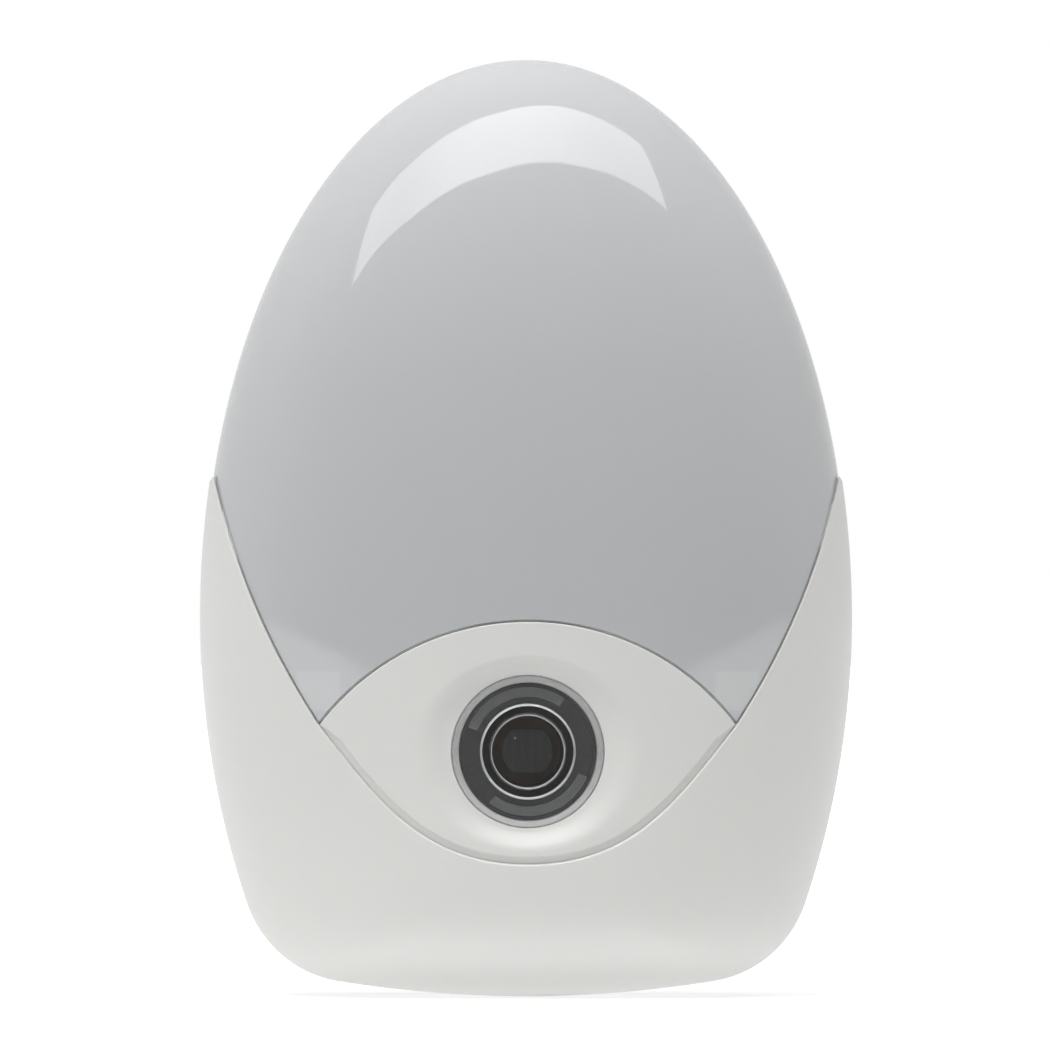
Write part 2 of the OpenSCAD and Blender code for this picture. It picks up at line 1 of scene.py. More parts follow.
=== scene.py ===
import json
import math
import bmesh
import bpy
import numpy as np
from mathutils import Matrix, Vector


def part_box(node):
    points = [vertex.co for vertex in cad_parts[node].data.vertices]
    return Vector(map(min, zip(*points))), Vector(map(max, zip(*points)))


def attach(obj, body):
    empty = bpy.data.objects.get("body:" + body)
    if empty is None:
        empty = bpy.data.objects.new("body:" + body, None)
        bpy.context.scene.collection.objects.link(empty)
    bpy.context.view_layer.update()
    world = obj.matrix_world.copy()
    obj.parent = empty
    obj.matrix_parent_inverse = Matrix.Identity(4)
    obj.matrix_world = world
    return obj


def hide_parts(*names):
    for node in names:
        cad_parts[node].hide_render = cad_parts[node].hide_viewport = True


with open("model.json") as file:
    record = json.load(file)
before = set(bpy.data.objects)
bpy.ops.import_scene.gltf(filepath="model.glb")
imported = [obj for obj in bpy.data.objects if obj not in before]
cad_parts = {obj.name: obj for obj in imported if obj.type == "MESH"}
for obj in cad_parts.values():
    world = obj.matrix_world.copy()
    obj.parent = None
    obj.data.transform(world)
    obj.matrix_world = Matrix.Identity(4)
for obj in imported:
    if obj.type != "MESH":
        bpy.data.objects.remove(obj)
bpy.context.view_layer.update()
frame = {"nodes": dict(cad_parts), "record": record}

nodes = frame["nodes"]
mounts = {m["name"]: m["pos_m"] for m in frame["record"]["mounts"]}
mm = 0.001
print("frame loaded,", len(nodes), "nodes")

# The body is worked out lying on its back, in millimetres: x across, h up its height and z from the
# back face forwards. stand() puts such points into the frame, in metres.
backY = mounts["body_back"][1]
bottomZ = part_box("front_housing")[0].z


def stand(x, h, z):
    x, h, z = np.broadcast_arrays(x, h, z)
    return np.stack([x * mm, backY - z * mm, bottomZ + h * mm], axis=-1)


def addPiece(name, mesh, material, replaced=(), sharpAngle=38):
    piece = bpy.data.objects.new(name, mesh)
    bpy.context.scene.collection.objects.link(piece)
    mesh.materials.clear()
    mesh.materials.append(material)
    mesh.shade_smooth()
    mesh.set_sharp_from_angle(angle=math.radians(sharpAngle))
    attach(piece, "root")
    if replaced:
        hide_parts(*replaced)
    return piece


# A closed surface from grids of points, each rows x columns x 3. Rows and columns close on themselves
# unless told otherwise; points that meet at poles, tips and slits are merged, and open columns get a cap.
def closedMesh(name, grids, wrapRows=True, wrapColumns=True):
    points, quads, start = [], [], 0
    for grid in grids:
        rows, columns = grid.shape[:2]
        index = start + np.arange(rows * columns).reshape(rows, columns)
        above = np.roll(index, -1, 0)
        quad = np.stack([index, np.roll(index, -1, 1), np.roll(above, -1, 1), above], -1)
        quads.append(quad[:rows - (not wrapRows), :columns - (not wrapColumns)].reshape(-1, 4))
        points.append(grid.reshape(-1, 3))
        start += rows * columns
    mesh = bpy.data.meshes.new(name)
    mesh.from_pydata(np.concatenate(points).tolist(), [], np.concatenate(quads).tolist())
    work = bmesh.new()
    work.from_mesh(mesh)
    bmesh.ops.remove_doubles(work, verts=work.verts, dist=4e-7)
    bmesh.ops.dissolve_degenerate(work, edges=work.edges, dist=1e-7)
    if not wrapColumns:
        bmesh.ops.holes_fill(work, edges=[e for e in work.edges if e.is_boundary], sides=0)
    bmesh.ops.recalc_face_normals(work, faces=work.faces)
    work.to_mesh(mesh)
    work.free()
    return mesh


# A copy of a CAD node with its loose triangles merged and its flat faces made whole again, apart
# from cuts across x at the given places (mm), which part its faces cleanly round their holes. The
# imported normals no longer fit the merged faces, so they go.
def mergedCopy(node, name, cuts=()):
    mesh = bpy.data.meshes.new(name)
    work = bmesh.new()
    work.from_mesh(nodes[node].data)
    bmesh.ops.remove_doubles(work, verts=work.verts, dist=2e-6)
    for x in cuts:
        everything = work.verts[:] + work.edges[:] + work.faces[:]
        bmesh.ops.bisect_plane(work, geom=everything, dist=1e-7, plane_co=(x * mm, 0, 0), plane_no=(1, 0, 0))
    onCut = {e for e in work.edges for x in cuts if all(abs(v.co.x - x * mm) < 1e-6 for v in e.verts)}
    loose = [e for e in work.edges if e not in onCut]
    bmesh.ops.dissolve_limit(work, angle_limit=math.radians(0.4), verts=work.verts, edges=loose)
    work.to_mesh(mesh)
    work.free()
    if "custom_normal" in mesh.attributes:
        mesh.attributes.remove(mesh.attributes["custom_normal"])
    mesh.update()
    return mesh


# The body's outlines and dome, as in the part's source
body = dict(
    halfWidth=32.6,
    height=93.9,
    waist=37.9,          # height of the widest point
    trayDepth=9.0,
    domeDepth=23.0,
    bottomRadius=118.0,  # long arc of the bottom edge
    sideRadius=90.0,     # sides below the widest point
    cornerRadius=11.6,
    power=2.3,           # squareness of the dome's profile
    footPower=8.0,       # and of its profile at the bottom edge
    wall=1.8,
)
halfWidth, waist, wall = body["halfWidth"], body["waist"], body["wall"]
crown = body["height"] - waist

sideC = np.array([halfWidth - body["sideRadius"], waist])
footC = np.array([0.0, body["bottomRadius"]])
span = np.linalg.norm(footC - sideC)
along = (footC - sideC) / span
toSide = body["sideRadius"] - body["cornerRadius"]
toFoot = body["bottomRadius"] - body["cornerRadius"]
reach = (toSide ** 2 - toFoot ** 2 + span ** 2) / (2 * span)
cornerC = sideC + reach * along + math.sqrt(toSide ** 2 - reach ** 2) * np.array([along[1], -along[0]])
sideTurn = math.atan2(cornerC[1] - sideC[1], cornerC[0] - sideC[0])
footTurn = math.atan2(cornerC[1] - footC[1], cornerC[0] - footC[0])


def arc(centre, radius, a0, a1, n):
    a = np.linspace(a0, a1, n)
    return np.stack([centre[0] + radius * np.cos(a), centre[1] + radius * np.sin(a)], -1)


# Right side of the outline drawn in by t, from height `top` on the crown's ellipse down to the
# bottom's middle: quarter ellipse, side arc, corner arc and bottom arc
def rightOutline(t, top):
    a = np.linspace(math.asin((top - waist) / (crown - t)), 0, 200)
    ellipse = np.stack([(halfWidth - t) * np.cos(a), waist + (crown - t) * np.sin(a)], -1)
    return np.concatenate([
        ellipse,
        arc(sideC, body["sideRadius"] - t, 0, sideTurn, 200)[1:],
        arc(cornerC, body["cornerRadius"] - t, sideTurn, footTurn, 200)[1:],
        arc(footC, body["bottomRadius"] - t, footTurn, -math.pi / 2, 200)[1:],
    ])


# Points at given shares of a polyline's length
def resample(points, shares):
    length = np.concatenate([[0], np.cumsum(np.linalg.norm(np.diff(points, axis=0), axis=1))])
    return np.stack([np.interp(shares * length[-1], length, points[:, i]) for i in (0, 1)], -1)


def inLowerHalf(x, h, t):
    turn = np.arctan2(h - cornerC[1], x - cornerC[0])
    atCorner = (turn > footTurn) & (turn < sideTurn)
    inside = np.hypot(x - sideC[0], h - sideC[1]) < body["sideRadius"] - t
    inside &= np.hypot(x - footC[0], h - footC[1]) < body["bottomRadius"] - t
    return inside & (~atCorner | (np.hypot(x - cornerC[0], h - cornerC[1]) < body["cornerRadius"] - t))


# Height z of the dome over the point (x, h), drawn in by t. A slice of the dome is the outline
# shrunk about the waist's middle, by c to the power 1/2.3, and below the waist's line by c to the
# power 1/8 up and down; it lies at the dome's depth times (1 - c) to the power 1/2.3. Above the
# waist c comes straight from the ellipse, below it from halving the range in which the point lies.
def dome(x, h, t=0.0):
    x, h = np.broadcast_arrays(np.abs(np.asarray(x, float)), np.asarray(h, float))
    ellipse = (x / (halfWidth - t)) ** 2 + ((h - waist) / (crown - t)) ** 2
    above = np.clip(ellipse, 0, 1) ** (body["power"] / 2)
    low, high = np.full(x.shape, 1e-9), np.ones(x.shape)
    for step in range(42):
        c = (low + high) / 2
        wide, tall = c ** (1 / body["power"]), c ** (1 / body["footPower"])
        inside = inLowerHalf(x / wide, waist + (h - waist) / tall, t)
        high, low = np.where(inside, c, high), np.where(inside, low, c)
    c = np.where(h > waist, above, high)
    return body["trayDepth"] + (body["domeDepth"] - t) * (1 - c) ** (1 / body["power"])


# The parting lines between cup, diffuser and panel
parting = dict(
    veeRadius=74.0,      # arcs between diffuser and cup
    veeBottom=13.4,      # lowest point of the cup's opening
    eyeWidth=20.8,       # half width of the eye
    eyeHeight=27.3,      # height of its corners
    eyeTop=37.6,
    wingHeight=52.8,     # where the arcs leave the outline
    veeGap=0.15,
    eyeGap=0.1,
    panelGap=0.1,
    shutOff=0.012,       # what is left open lower down, where each edge has a small tongue
    lensStep=0.15,       # the panel lies this far below the cup's surface
    diffuserStep=0.3,    # and the diffuser this far
)
eyeCorner = np.array([parting["eyeWidth"], parting["eyeHeight"]])
wingShare = (parting["wingHeight"] - waist) / crown
wingTip = np.array([halfWidth * math.sqrt(1 - wingShare ** 2), parting["wingHeight"]])
chord = np.linalg.norm(wingTip - eyeCorner)
across = (wingTip - eyeCorner) / chord
toChord = math.sqrt(parting["veeRadius"] ** 2 - chord ** 2 / 4)
veeC = (wingTip + eyeCorner) / 2 + toChord * np.array([-across[1], across[0]])
eyeRise = parting["eyeTop"] - parting["eyeHeight"]
eyeRadius = (parting["eyeWidth"] ** 2 + eyeRise ** 2) / (2 * eyeRise)
eyeC = np.array([0.0, parting["eyeTop"] - eyeRadius])


# Right half of the eye's lower edge, a cubic curve from the bottom's middle to the corner,
# moved inwards by gap along its normal
def grooveCurve(gap, n):
    s = np.linspace(0, 1, n)[:, None]
    rise = parting["eyeHeight"] - parting["veeBottom"]
    p = np.array([[0, parting["veeBottom"]], [0.5 * eyeCorner[0], parting["veeBottom"]],
                  [0.72 * eyeCorner[0], parting["veeBottom"] + 0.46 * rise], eyeCorner])
    curve = (1 - s) ** 3 * p[0] + 3 * s * (1 - s) ** 2 * p[1] + 3 * s ** 2 * (1 - s) * p[2] + s ** 3 * p[3]
    slope = 3 * (1 - s) ** 2 * (p[1] - p[0]) + 6 * s * (1 - s) * (p[2] - p[1]) + 3 * s ** 2 * (p[3] - p[2])
    normal = np.stack([-slope[:, 1], slope[:, 0]], -1) / np.linalg.norm(slope, axis=1)[:, None]
    return curve + gap * normal


# Upper of the two points that two circles share, on the right
def circlesMeet(c0, r0, c1, r1):
    d = np.linalg.norm(c1 - c0)
    u = (c1 - c0) / d
    a = (r0 ** 2 - r1 ** 2 + d ** 2) / (2 * d)
    side = math.sqrt(r0 ** 2 - a ** 2) * np.array([u[1], -u[0]])
    return max((c0 + a * u + side, c0 + a * u - side), key=lambda p: p[0])


def turnOf(centre, point):
    return math.atan2(point[1] - centre[1], point[0] - centre[0])


# Where the arc of the right wing, of radius r, crosses the crown's ellipse drawn in by t
def wingPoint(r, t):
    a0, a1 = 0.0, math.pi / 2
    for step in range(60):
        a = (a0 + a1) / 2
        p = np.array([(halfWidth - t) * math.cos(a), waist + (crown - t) * math.sin(a)])
        a0, a1 = (a, a1) if np.linalg.norm(p - veeC) > r else (a0, a)
    return p


def mirrored(points):
    return points[::-1] * [-1, 1]


# An sRGB hex colour as the linear values that a shader takes
def linear(hexColour):
    value = np.array([int(hexColour[i:i + 2], 16) for i in (1, 3, 5)]) / 255
    value = np.where(value <= 0.04045, value / 12.92, ((value + 0.055) / 1.055) ** 2.4)
    return (*value.tolist(), 1.0)


# The output that stands for a node: the first one in use
def mainOutput(source):
    return next(o for o in source.outputs if o.enabled) if isinstance(source, bpy.types.Node) else source


# Adds a node with its own settings. Its sockets come by name or number, or as a list in their order:
# each is a value, a hex colour, an output to link or a node.
def add(tree, kind, sockets=(), **settings):
    node = tree.nodes.new("ShaderNode" + kind)
    for name, value in settings.items():
        setattr(node, name, value)
    for name, value in sockets.items() if isinstance(sockets, dict) else enumerate(sockets):
        value = linear(value) if isinstance(value, str) else mainOutput(value)
        if isinstance(value, bpy.types.NodeSocket):
            tree.links.new(value, node.inputs[name])
        else:
            node.inputs[name].default_value = value
    return node


def newMaterial(name):
    material = bpy.data.materials.new(name)
    material.use_nodes = True
    material.node_tree.nodes.clear()
    return material, material.node_tree


# Solid colours with a cloudy drift between two close tones (drift, mm), a fine skin (grain, mm) that
# roughens the light and a slow waviness from moulding. Everything is on Object coordinates.
def mouldedMaterial(name, tone, toneB, roughness, grain=0.25, bump=0.08, grainDepth=0.02, wave=14.0,
                    waveDepth=0.05, drift=22.0, spread=0.05, metallic=0.0, stretch=(1, 1, 1), **shader):
    material, tree = newMaterial(name)
    place = add(tree, "TexCoord").outputs["Object"]
    placed = add(tree, "Mapping", {"Vector": place, "Scale": stretch})
    clouds = add(tree, "TexNoise", {"Vector": place, "Scale": 1 / (drift * mm), "Detail": 3.0})
    colour = add(tree, "Mix", {0: clouds, 6: tone, 7: toneB}, data_type="RGBA")
    skin = add(tree, "TexNoise", {"Vector": placed, "Scale": 1 / (grain * mm), "Detail": 2.0})
    slow = add(tree, "TexNoise", {"Vector": place, "Scale": 1 / (wave * mm), "Detail": 1.0})
    shine = add(tree, "MapRange", [skin, 0.3, 0.7, roughness - spread, roughness + spread])
    rough = add(tree, "Bump", {"Height": skin, "Strength": bump, "Distance": grainDepth * mm})
    waves = add(tree, "Bump", {"Height": slow, "Strength": 0.15, "Distance": waveDepth * mm, "Normal": rough})
    surface = add(tree, "BsdfPrincipled", {"Base Color": colour, "Roughness": shine, "Normal": waves,
                                           "Metallic": metallic, **shader})
    add(tree, "OutputMaterial", {"Surface": surface})
    return material


# White ABS from a spark-eroded mould: satin, a soft broad sheen with a fine even grain
whiteAbs = mouldedMaterial("white_abs_satin_moulded", "#e0e0dd", "#dcdcda", 0.42, grain=0.3, bump=0.16,
                           **{"IOR": 1.53, "Subsurface Weight": 0.06, "Subsurface Scale": 0.8 * mm})
# Black ABS, matt inside the tube: swallows light but keeps a faint brown bloom
blackAbs = mouldedMaterial("black_abs_matt_moulded", "#373532", "#312f2c", 0.6, bump=0.2, IOR=1.53)
# Black nylon of the pin sleeves, pulled over the pins: dull, very fine grain
blackNylon = mouldedMaterial("black_nylon_moulded", "#1c1c1d", "#232324", 0.42, grain=0.2, bump=0.12,
                             IOR=1.53)
# Nickel plate on turned brass: warm bright metal with rings left by the tool
nickelPlate = mouldedMaterial("nickel_plate_turned", "#cdc8bd", "#c4c0b6", 0.2, grain=0.12, bump=0.25,
                              stretch=(0.05, 1, 0.05), metallic=1.0)
# Zinc plate on rolled steel screws: cool grey metal, slightly blotched
zincPlate = mouldedMaterial("zinc_plate_bright", "#b9bcc1", "#a6a9ad", 0.33, grain=0.3, drift=2.0, bump=0.2,
                            metallic=1.0)
# Rolled brass strip, stamped: yellow metal with a lengthwise grain
brassStrip = mouldedMaterial("brass_strip_rolled", "#d0ac5e", "#b99650", 0.3, grain=0.15, drift=3.0,
                             stretch=(1, 1, 0.08), metallic=1.0)
# Soft PVC on the wires, extruded: smooth with a mild shine
redPvc = mouldedMaterial("red_pvc_extruded", "#a32a20", "#94241c", 0.35, grain=0.4, drift=4.0, IOR=1.53)
# Phenolic paper board, pressed: tan brown, with darker fibres
paperBoard = mouldedMaterial("phenolic_paper_pressed", "#a9824c", "#8c6636", 0.5, grain=0.5, drift=1.6,
                             bump=0.2, spread=0.1, IOR=1.6)
# White reflector plastic, polished mould: clean and glossy
whiteGloss = mouldedMaterial("white_polystyrene_polished", "#ecebe7", "#e6e5e1", 0.18, bump=0.04, IOR=1.59)
# Epoxy lenses of the light-emitting diodes, cast: pale yellow, water-smooth
castEpoxy = mouldedMaterial("pale_epoxy_cast", "#ece5c0", "#e2d8a8", 0.08, bump=0.03,
                            **{"IOR": 1.52, "Subsurface Weight": 0.5, "Subsurface Scale": 1.0 * mm})
# Film capacitor's box, filled with resin: ochre, slightly uneven shine
ochreBox = mouldedMaterial("ochre_polyester_box", "#c79a2c", "#b88b22", 0.28, drift=5.0, IOR=1.55)
# Shrunk sleeve of the electrolytic can: dark blue, tight and glossy
blueSleeve = mouldedMaterial("blue_pvc_shrunk", "#1c2c5c", "#182650", 0.2, drift=4.0, IOR=1.54)
# Black epoxy of the rectifier and the transistor, transfer moulded: matt with a fine grit
blackEpoxy = mouldedMaterial("black_epoxy_moulded", "#222221", "#2a2a29", 0.6, grain=0.15, bump=0.3, IOR=1.55)
# Green lacquer on the fusible resistor, dipped
greenLacquer = mouldedMaterial("green_lacquer_dipped", "#3f6e52", "#386449", 0.3, drift=3.0, IOR=1.5)
# Orange glass of the diode, drawn on its leads
orangeGlass = mouldedMaterial("orange_glass_drawn", "#c85a24", "#a8481c", 0.08, drift=1.5,
                              **{"IOR": 1.52, "Transmission Weight": 0.4})


resistorRings = dict(
    halfWidth=0.26,
    rings=((-2.0, "#7a4a20"), (-0.8, "#1a1a1a"), (0.4, "#d08a1c"), (2.1, "#b8952c")),
)


# Tan lacquered resistors with four colour rings, set across their length (x)
def bandedMaterial():
    material = mouldedMaterial("tan_lacquer_dipped_banded", "#d1b48a", "#c6a87c", 0.32, drift=3.0, IOR=1.5)
    tree = material.node_tree
    shader = next(n for n in tree.nodes if n.type == "BSDF_PRINCIPLED")
    ground = shader.inputs["Base Color"].links[0].from_socket
    place = next(n for n in tree.nodes if n.type == "TEX_COORD").outputs["Object"]
    x = add(tree, "SeparateXYZ", {"Vector": place})
    middle = sum(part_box("resistors"), Vector()).x / 2
    half = resistorRings["halfWidth"] * mm
    for offset, tone in resistorRings["rings"]:
        ring = add(tree, "Math", [x, middle + offset * mm, half], operation="COMPARE")
        ground = add(tree, "Mix", {0: ring, 6: ground, 7: tone}, data_type="RGBA")
    tree.links.new(mainOutput(ground), shader.inputs["Base Color"])
    return material


tanLacquer = bandedMaterial()

# Cadmium sulphide cell: ceramic disc with a dark coat and a faint zigzag track between combs. Painted shade:
# the coat is darker towards the top, where shade falls inside the tube. Painted glint: a small light point on
# the coat.
cell = dict(
    # painted shade: the coat's tone at the top, darker than lower down
    paintedShadeCoatTop="#1c1b1d",
    coatLow="#43433d",
    paintedShadeFrom=2.5,        # from this height above the middle
    paintedShadeTo=-3.5,         # down to this one
    speckle="#2a221e",
    dust=0.4,
    track="#6a6256",
    trackShows=0.12,
    combPitch=0.45,
    combReach=1.35,      # up and down
    combHalfWidth=0.13,
    railHalfWidth=0.3,
    # painted glint: a small light point on the coat, standing in for a highlight
    paintedGlint=(-1.2, 1.28),
    paintedGlintRadius=0.12,
    paintedGlintTone="#d8d0c2",
)


def cellMaterial():
    material, tree = newMaterial("coated_ceramic_cell")
    place = add(tree, "TexCoord").outputs["Object"]
    parts = add(tree, "SeparateXYZ", {"Vector": place})
    middle = sum(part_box("photocell"), Vector()) / 2
    pitch, reach, half = cell["combPitch"] * mm, cell["combReach"] * mm, cell["combHalfWidth"] * mm
    up = add(tree, "Math", [parts.outputs[2], middle.z], operation="SUBTRACT")
    across = add(tree, "Math", [parts.outputs[0], 2 * pitch], operation="PINGPONG")
    steps = add(tree, "MapRange", [across, pitch - half, pitch + half, -reach, reach])
    rails = add(tree, "Math", [up, steps, cell["railHalfWidth"] * mm], operation="COMPARE")
    combs = add(tree, "Math", [across, pitch, half], operation="COMPARE")
    track = add(tree, "Math", [rails, combs], operation="MAXIMUM")
    dust = add(tree, "TexNoise", {"Vector": place, "Scale": 1 / (cell["dust"] * mm), "Detail": 2.0})
    # painted shade over the coat, darkest at the top
    low = add(tree, "MapRange", [up, cell["paintedShadeTo"] * mm, cell["paintedShadeFrom"] * mm, 1.0, 0.0])
    coatAndPaintedShade = add(tree, "Mix", {0: low, 6: cell["paintedShadeCoatTop"], 7: cell["coatLow"]}, data_type="RGBA")
    speckled = add(tree, "Math", [dust, 0.25], operation="MULTIPLY")
    coatAndPaintedShade = add(tree, "Mix", {0: speckled, 6: coatAndPaintedShade, 7: cell["speckle"]}, data_type="RGBA")
    faint = add(tree, "Math", [track, cell["trackShows"]], operation="MULTIPLY")
    coatAndPaintedShade = add(tree, "Mix", {0: faint, 6: coatAndPaintedShade, 7: cell["track"]}, data_type="RGBA")
    # painted glint: a small light disc on the coat
    glintX, glintUp = cell["paintedGlint"]
    glintSpot = add(tree, "Mapping", {"Vector": place, "Location": (-glintX * mm, 0, -middle.z - glintUp * mm),
                                 "Scale": (1, 0, 1)})
    toGlint = add(tree, "VectorMath", [glintSpot], operation="LENGTH")
    hole = add(tree, "Math", [toGlint, cell["paintedGlintRadius"] * mm], operation="LESS_THAN")
    colour = add(tree, "Mix", {0: hole, 6: coatAndPaintedShade, 7: cell["paintedGlintTone"]}, data_type="RGBA")
    relief = add(tree, "Bump", {"Height": dust, "Strength": 0.2, "Distance": 0.03 * mm})
    shader = add(tree, "BsdfPrincipled", {"Base Color": colour, "Roughness": 0.3, "IOR": 1.5,
                                          "Coat Weight": 0.25, "Normal": relief})
    add(tree, "OutputMaterial", {"Surface": shader})
    return material


coatedCell = cellMaterial()

# Milky polycarbonate, polished mould: glassy top over a cloudy grey body that lets light in. Painted light:
# over the cup's two pads behind it, soft lighter squares stand in for light off the pads seen through it.
milky = dict(
    tone="#c1c3c4",
    toneB="#bcbfc1",
    light="#d2d4d4",
    crown="#c6c8ca",                      # painted light: tone at the top, made lighter where more light falls in through the crown
    paintedCrownLightFrom=62.0,
    pads=((-20.8, 30.6), (20.8, 30.6)),   # x and h of the pads' middles
    padSize=(1.9, 1.7),
    padSoft=0.5,
    paintedPadLightShows=0.35,
    cloud=16.0,
    speck=0.35,
    wave=9.0,
)


# Soft-edged box on Object coordinates: 1 inside, falling to 0 over `soft`, all in mm
def softBox(tree, x, z, middle, half, soft):
    sides = []
    for value, centre, reach in ((x, middle[0] * mm, half[0] * mm),
                                 (z, bottomZ + middle[1] * mm, half[1] * mm)):
        away = add(tree, "Math", [value, centre], operation="SUBTRACT")
        away = add(tree, "Math", [away], operation="ABSOLUTE")
        sides.append(add(tree, "MapRange", [away, reach, reach + soft * mm, 1.0, 0.0],
                         interpolation_type="SMOOTHSTEP"))
    return add(tree, "Math", sides, operation="MULTIPLY")


def milkyMaterial():
    material, tree = newMaterial("milky_polycarbonate_polished")
    place = add(tree, "TexCoord").outputs["Object"]
    parts = add(tree, "SeparateXYZ", {"Vector": place})
    x, z = parts.outputs[0], parts.outputs[2]
    clouds = add(tree, "TexNoise", {"Vector": place, "Scale": 1 / (milky["cloud"] * mm), "Detail": 3.0})
    speck = add(tree, "TexNoise", {"Vector": place, "Scale": 1 / (milky["speck"] * mm), "Detail": 2.0})
    mixed = add(tree, "Math", [clouds, speck], operation="MULTIPLY")
    ground = add(tree, "Mix", {0: mixed, 6: milky["tone"], 7: milky["toneB"]}, data_type="RGBA")
    # painted light: towards the top the tone blends into the lighter crown tone
    high = add(tree, "MapRange", [z, bottomZ + milky["paintedCrownLightFrom"] * mm, bottomZ + body["height"] * mm])
    ground = add(tree, "Mix", {0: high, 6: ground, 7: milky["crown"]}, data_type="RGBA")
    # painted light: soft lighter squares where the cup's pads lie behind
    pads = [softBox(tree, x, z, middle, milky["padSize"], milky["padSoft"]) for middle in milky["pads"]]
    paintedPadLightMask = add(tree, "Math", pads, operation="ADD")
    paintedPadLightMask = add(tree, "Math", [paintedPadLightMask, milky["paintedPadLightShows"]], operation="MULTIPLY")
    colour = add(tree, "Mix", {0: paintedPadLightMask, 6: ground, 7: milky["light"]}, data_type="RGBA")
    slow = add(tree, "TexNoise", {"Vector": place, "Scale": 1 / (milky["wave"] * mm), "Detail": 1.0})
    relief = add(tree, "Bump", {"Height": slow, "Strength": 0.1, "Distance": 0.05 * mm})
    shine = add(tree, "MapRange", [clouds, 0, 1, 0.03, 0.07])
    shader = add(tree, "BsdfPrincipled", {
        "Base Color": colour, "Roughness": shine, "IOR": 1.58, "Normal": relief, "Subsurface Weight": 0.2,
        "Subsurface Radius": (1.0, 1.0, 1.0), "Subsurface Scale": 1.2 * mm})
    add(tree, "OutputMaterial", {"Surface": shader})
    return material


milkyPolycarbonate = milkyMaterial()


# Clear polycarbonate, polished: glass-like, with faint flow lines from the mould. Painted highlights: the two
# edges of its raised ring are made white and less clear, as thin white lines that stand in for their
# highlights, strongest at the top and bottom. Painted light: its rim over the seat is made misty and white,
# strongest at the bottom, standing in for light on the seat, and the band between them is a little hazy:
# radius and half width in mm, and how strong at the top, on the sides and at the bottom. haze is for all the
# rest.
paintedHighlightBands = ((4.64, 0.1, 1.0, 0.45, 1.0), (3.64, 0.06, 0.6, 0.5, 0.6), (7.24, 0.32, 0.42, 0.3, 0.6),
                (5.82, 1.08, 0.05, 0.05, 0.05))


def clearMaterial(name, haze, edges=()):
    material, tree = newMaterial(name)
    place = add(tree, "TexCoord").outputs["Object"]
    flow = add(tree, "TexNoise", {"Vector": place, "Scale": 1 / (3 * mm), "Detail": 2.0})
    relief = add(tree, "Bump", {"Height": flow, "Strength": 0.08, "Distance": 0.02 * mm})
    fromAxis = add(tree, "Mapping", {"Vector": place, "Location": (0, 0, -windowAxisZ), "Scale": (1, 0, 1)})
    radius = add(tree, "VectorMath", [fromAxis], operation="LENGTH")
    up = add(tree, "SeparateXYZ", {"Vector": fromAxis}).outputs[2]
    cloud = add(tree, "MapRange", [flow, 0, 1, haze, haze + 0.02])
    # painted highlights and painted light: whiter, less clear bands, stronger where the light falls
    for at, half, top, side, bottom in edges:
        hazeAndPaintedLightBand = add(tree, "Math", [radius, at * mm, half * mm], operation="COMPARE")
        below = add(tree, "MapRange", [up, -at * mm, 0.0, bottom, side])
        above = add(tree, "MapRange", [up, 0.0, at * mm, 0.0, top - side])
        strength = add(tree, "Math", [below, above], operation="ADD")
        hazeAndPaintedLightBand = add(tree, "Math", [hazeAndPaintedLightBand, strength], operation="MULTIPLY")
        cloud = add(tree, "Math", [cloud, hazeAndPaintedLightBand], operation="MAXIMUM")
    clear = add(tree, "MapRange", [cloud, 0, 1, 1.0, 0.1])
    rough = add(tree, "MapRange", [cloud, 0, 1, 0.02, 0.35])
    tint = add(tree, "Mix", {0: flow, 6: "#f4f5f5", 7: "#eeefef"}, data_type="RGBA")
    shader = add(tree, "BsdfPrincipled", {"Base Color": tint, "Roughness": rough, "IOR": 1.58,
                                          "Transmission Weight": clear, "Normal": relief})
    add(tree, "OutputMaterial", {"Surface": shader})
    return material


windowAxisZ = sum(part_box("sensor_window"), Vector()).z / 2
clearPolycarbonate = clearMaterial("clear_polycarbonate_polished", 0.0, paintedHighlightBands)
# The snap arms come from a rougher part of the same mould, so they look misty
mistyPolycarbonate = clearMaterial("clear_polycarbonate_satin", 0.2)
print("materials made")

diffuser = dict(
    columns=220,         # on the lower edge, and as many over the crown
    rows=64,
    innerRows=24,
    edgeRound=0.16,      # rounding of the edge along the parting lines
    tongueDepth=0.32,
    spineHeight=58.0,    # the grid closes on a slit at this height
    spineReach=18.0,
    wingShare=0.27,      # of the columns
    roundFade=6.0,       # the rounding fades out over this many columns at the tips
    tongueFade=1.5,      # and the tongue over this many
    tongueEnd=0.9,       # lower face of the tongue
)
lensStep, diffuserStep = parting["lensStep"], parting["diffuserStep"]


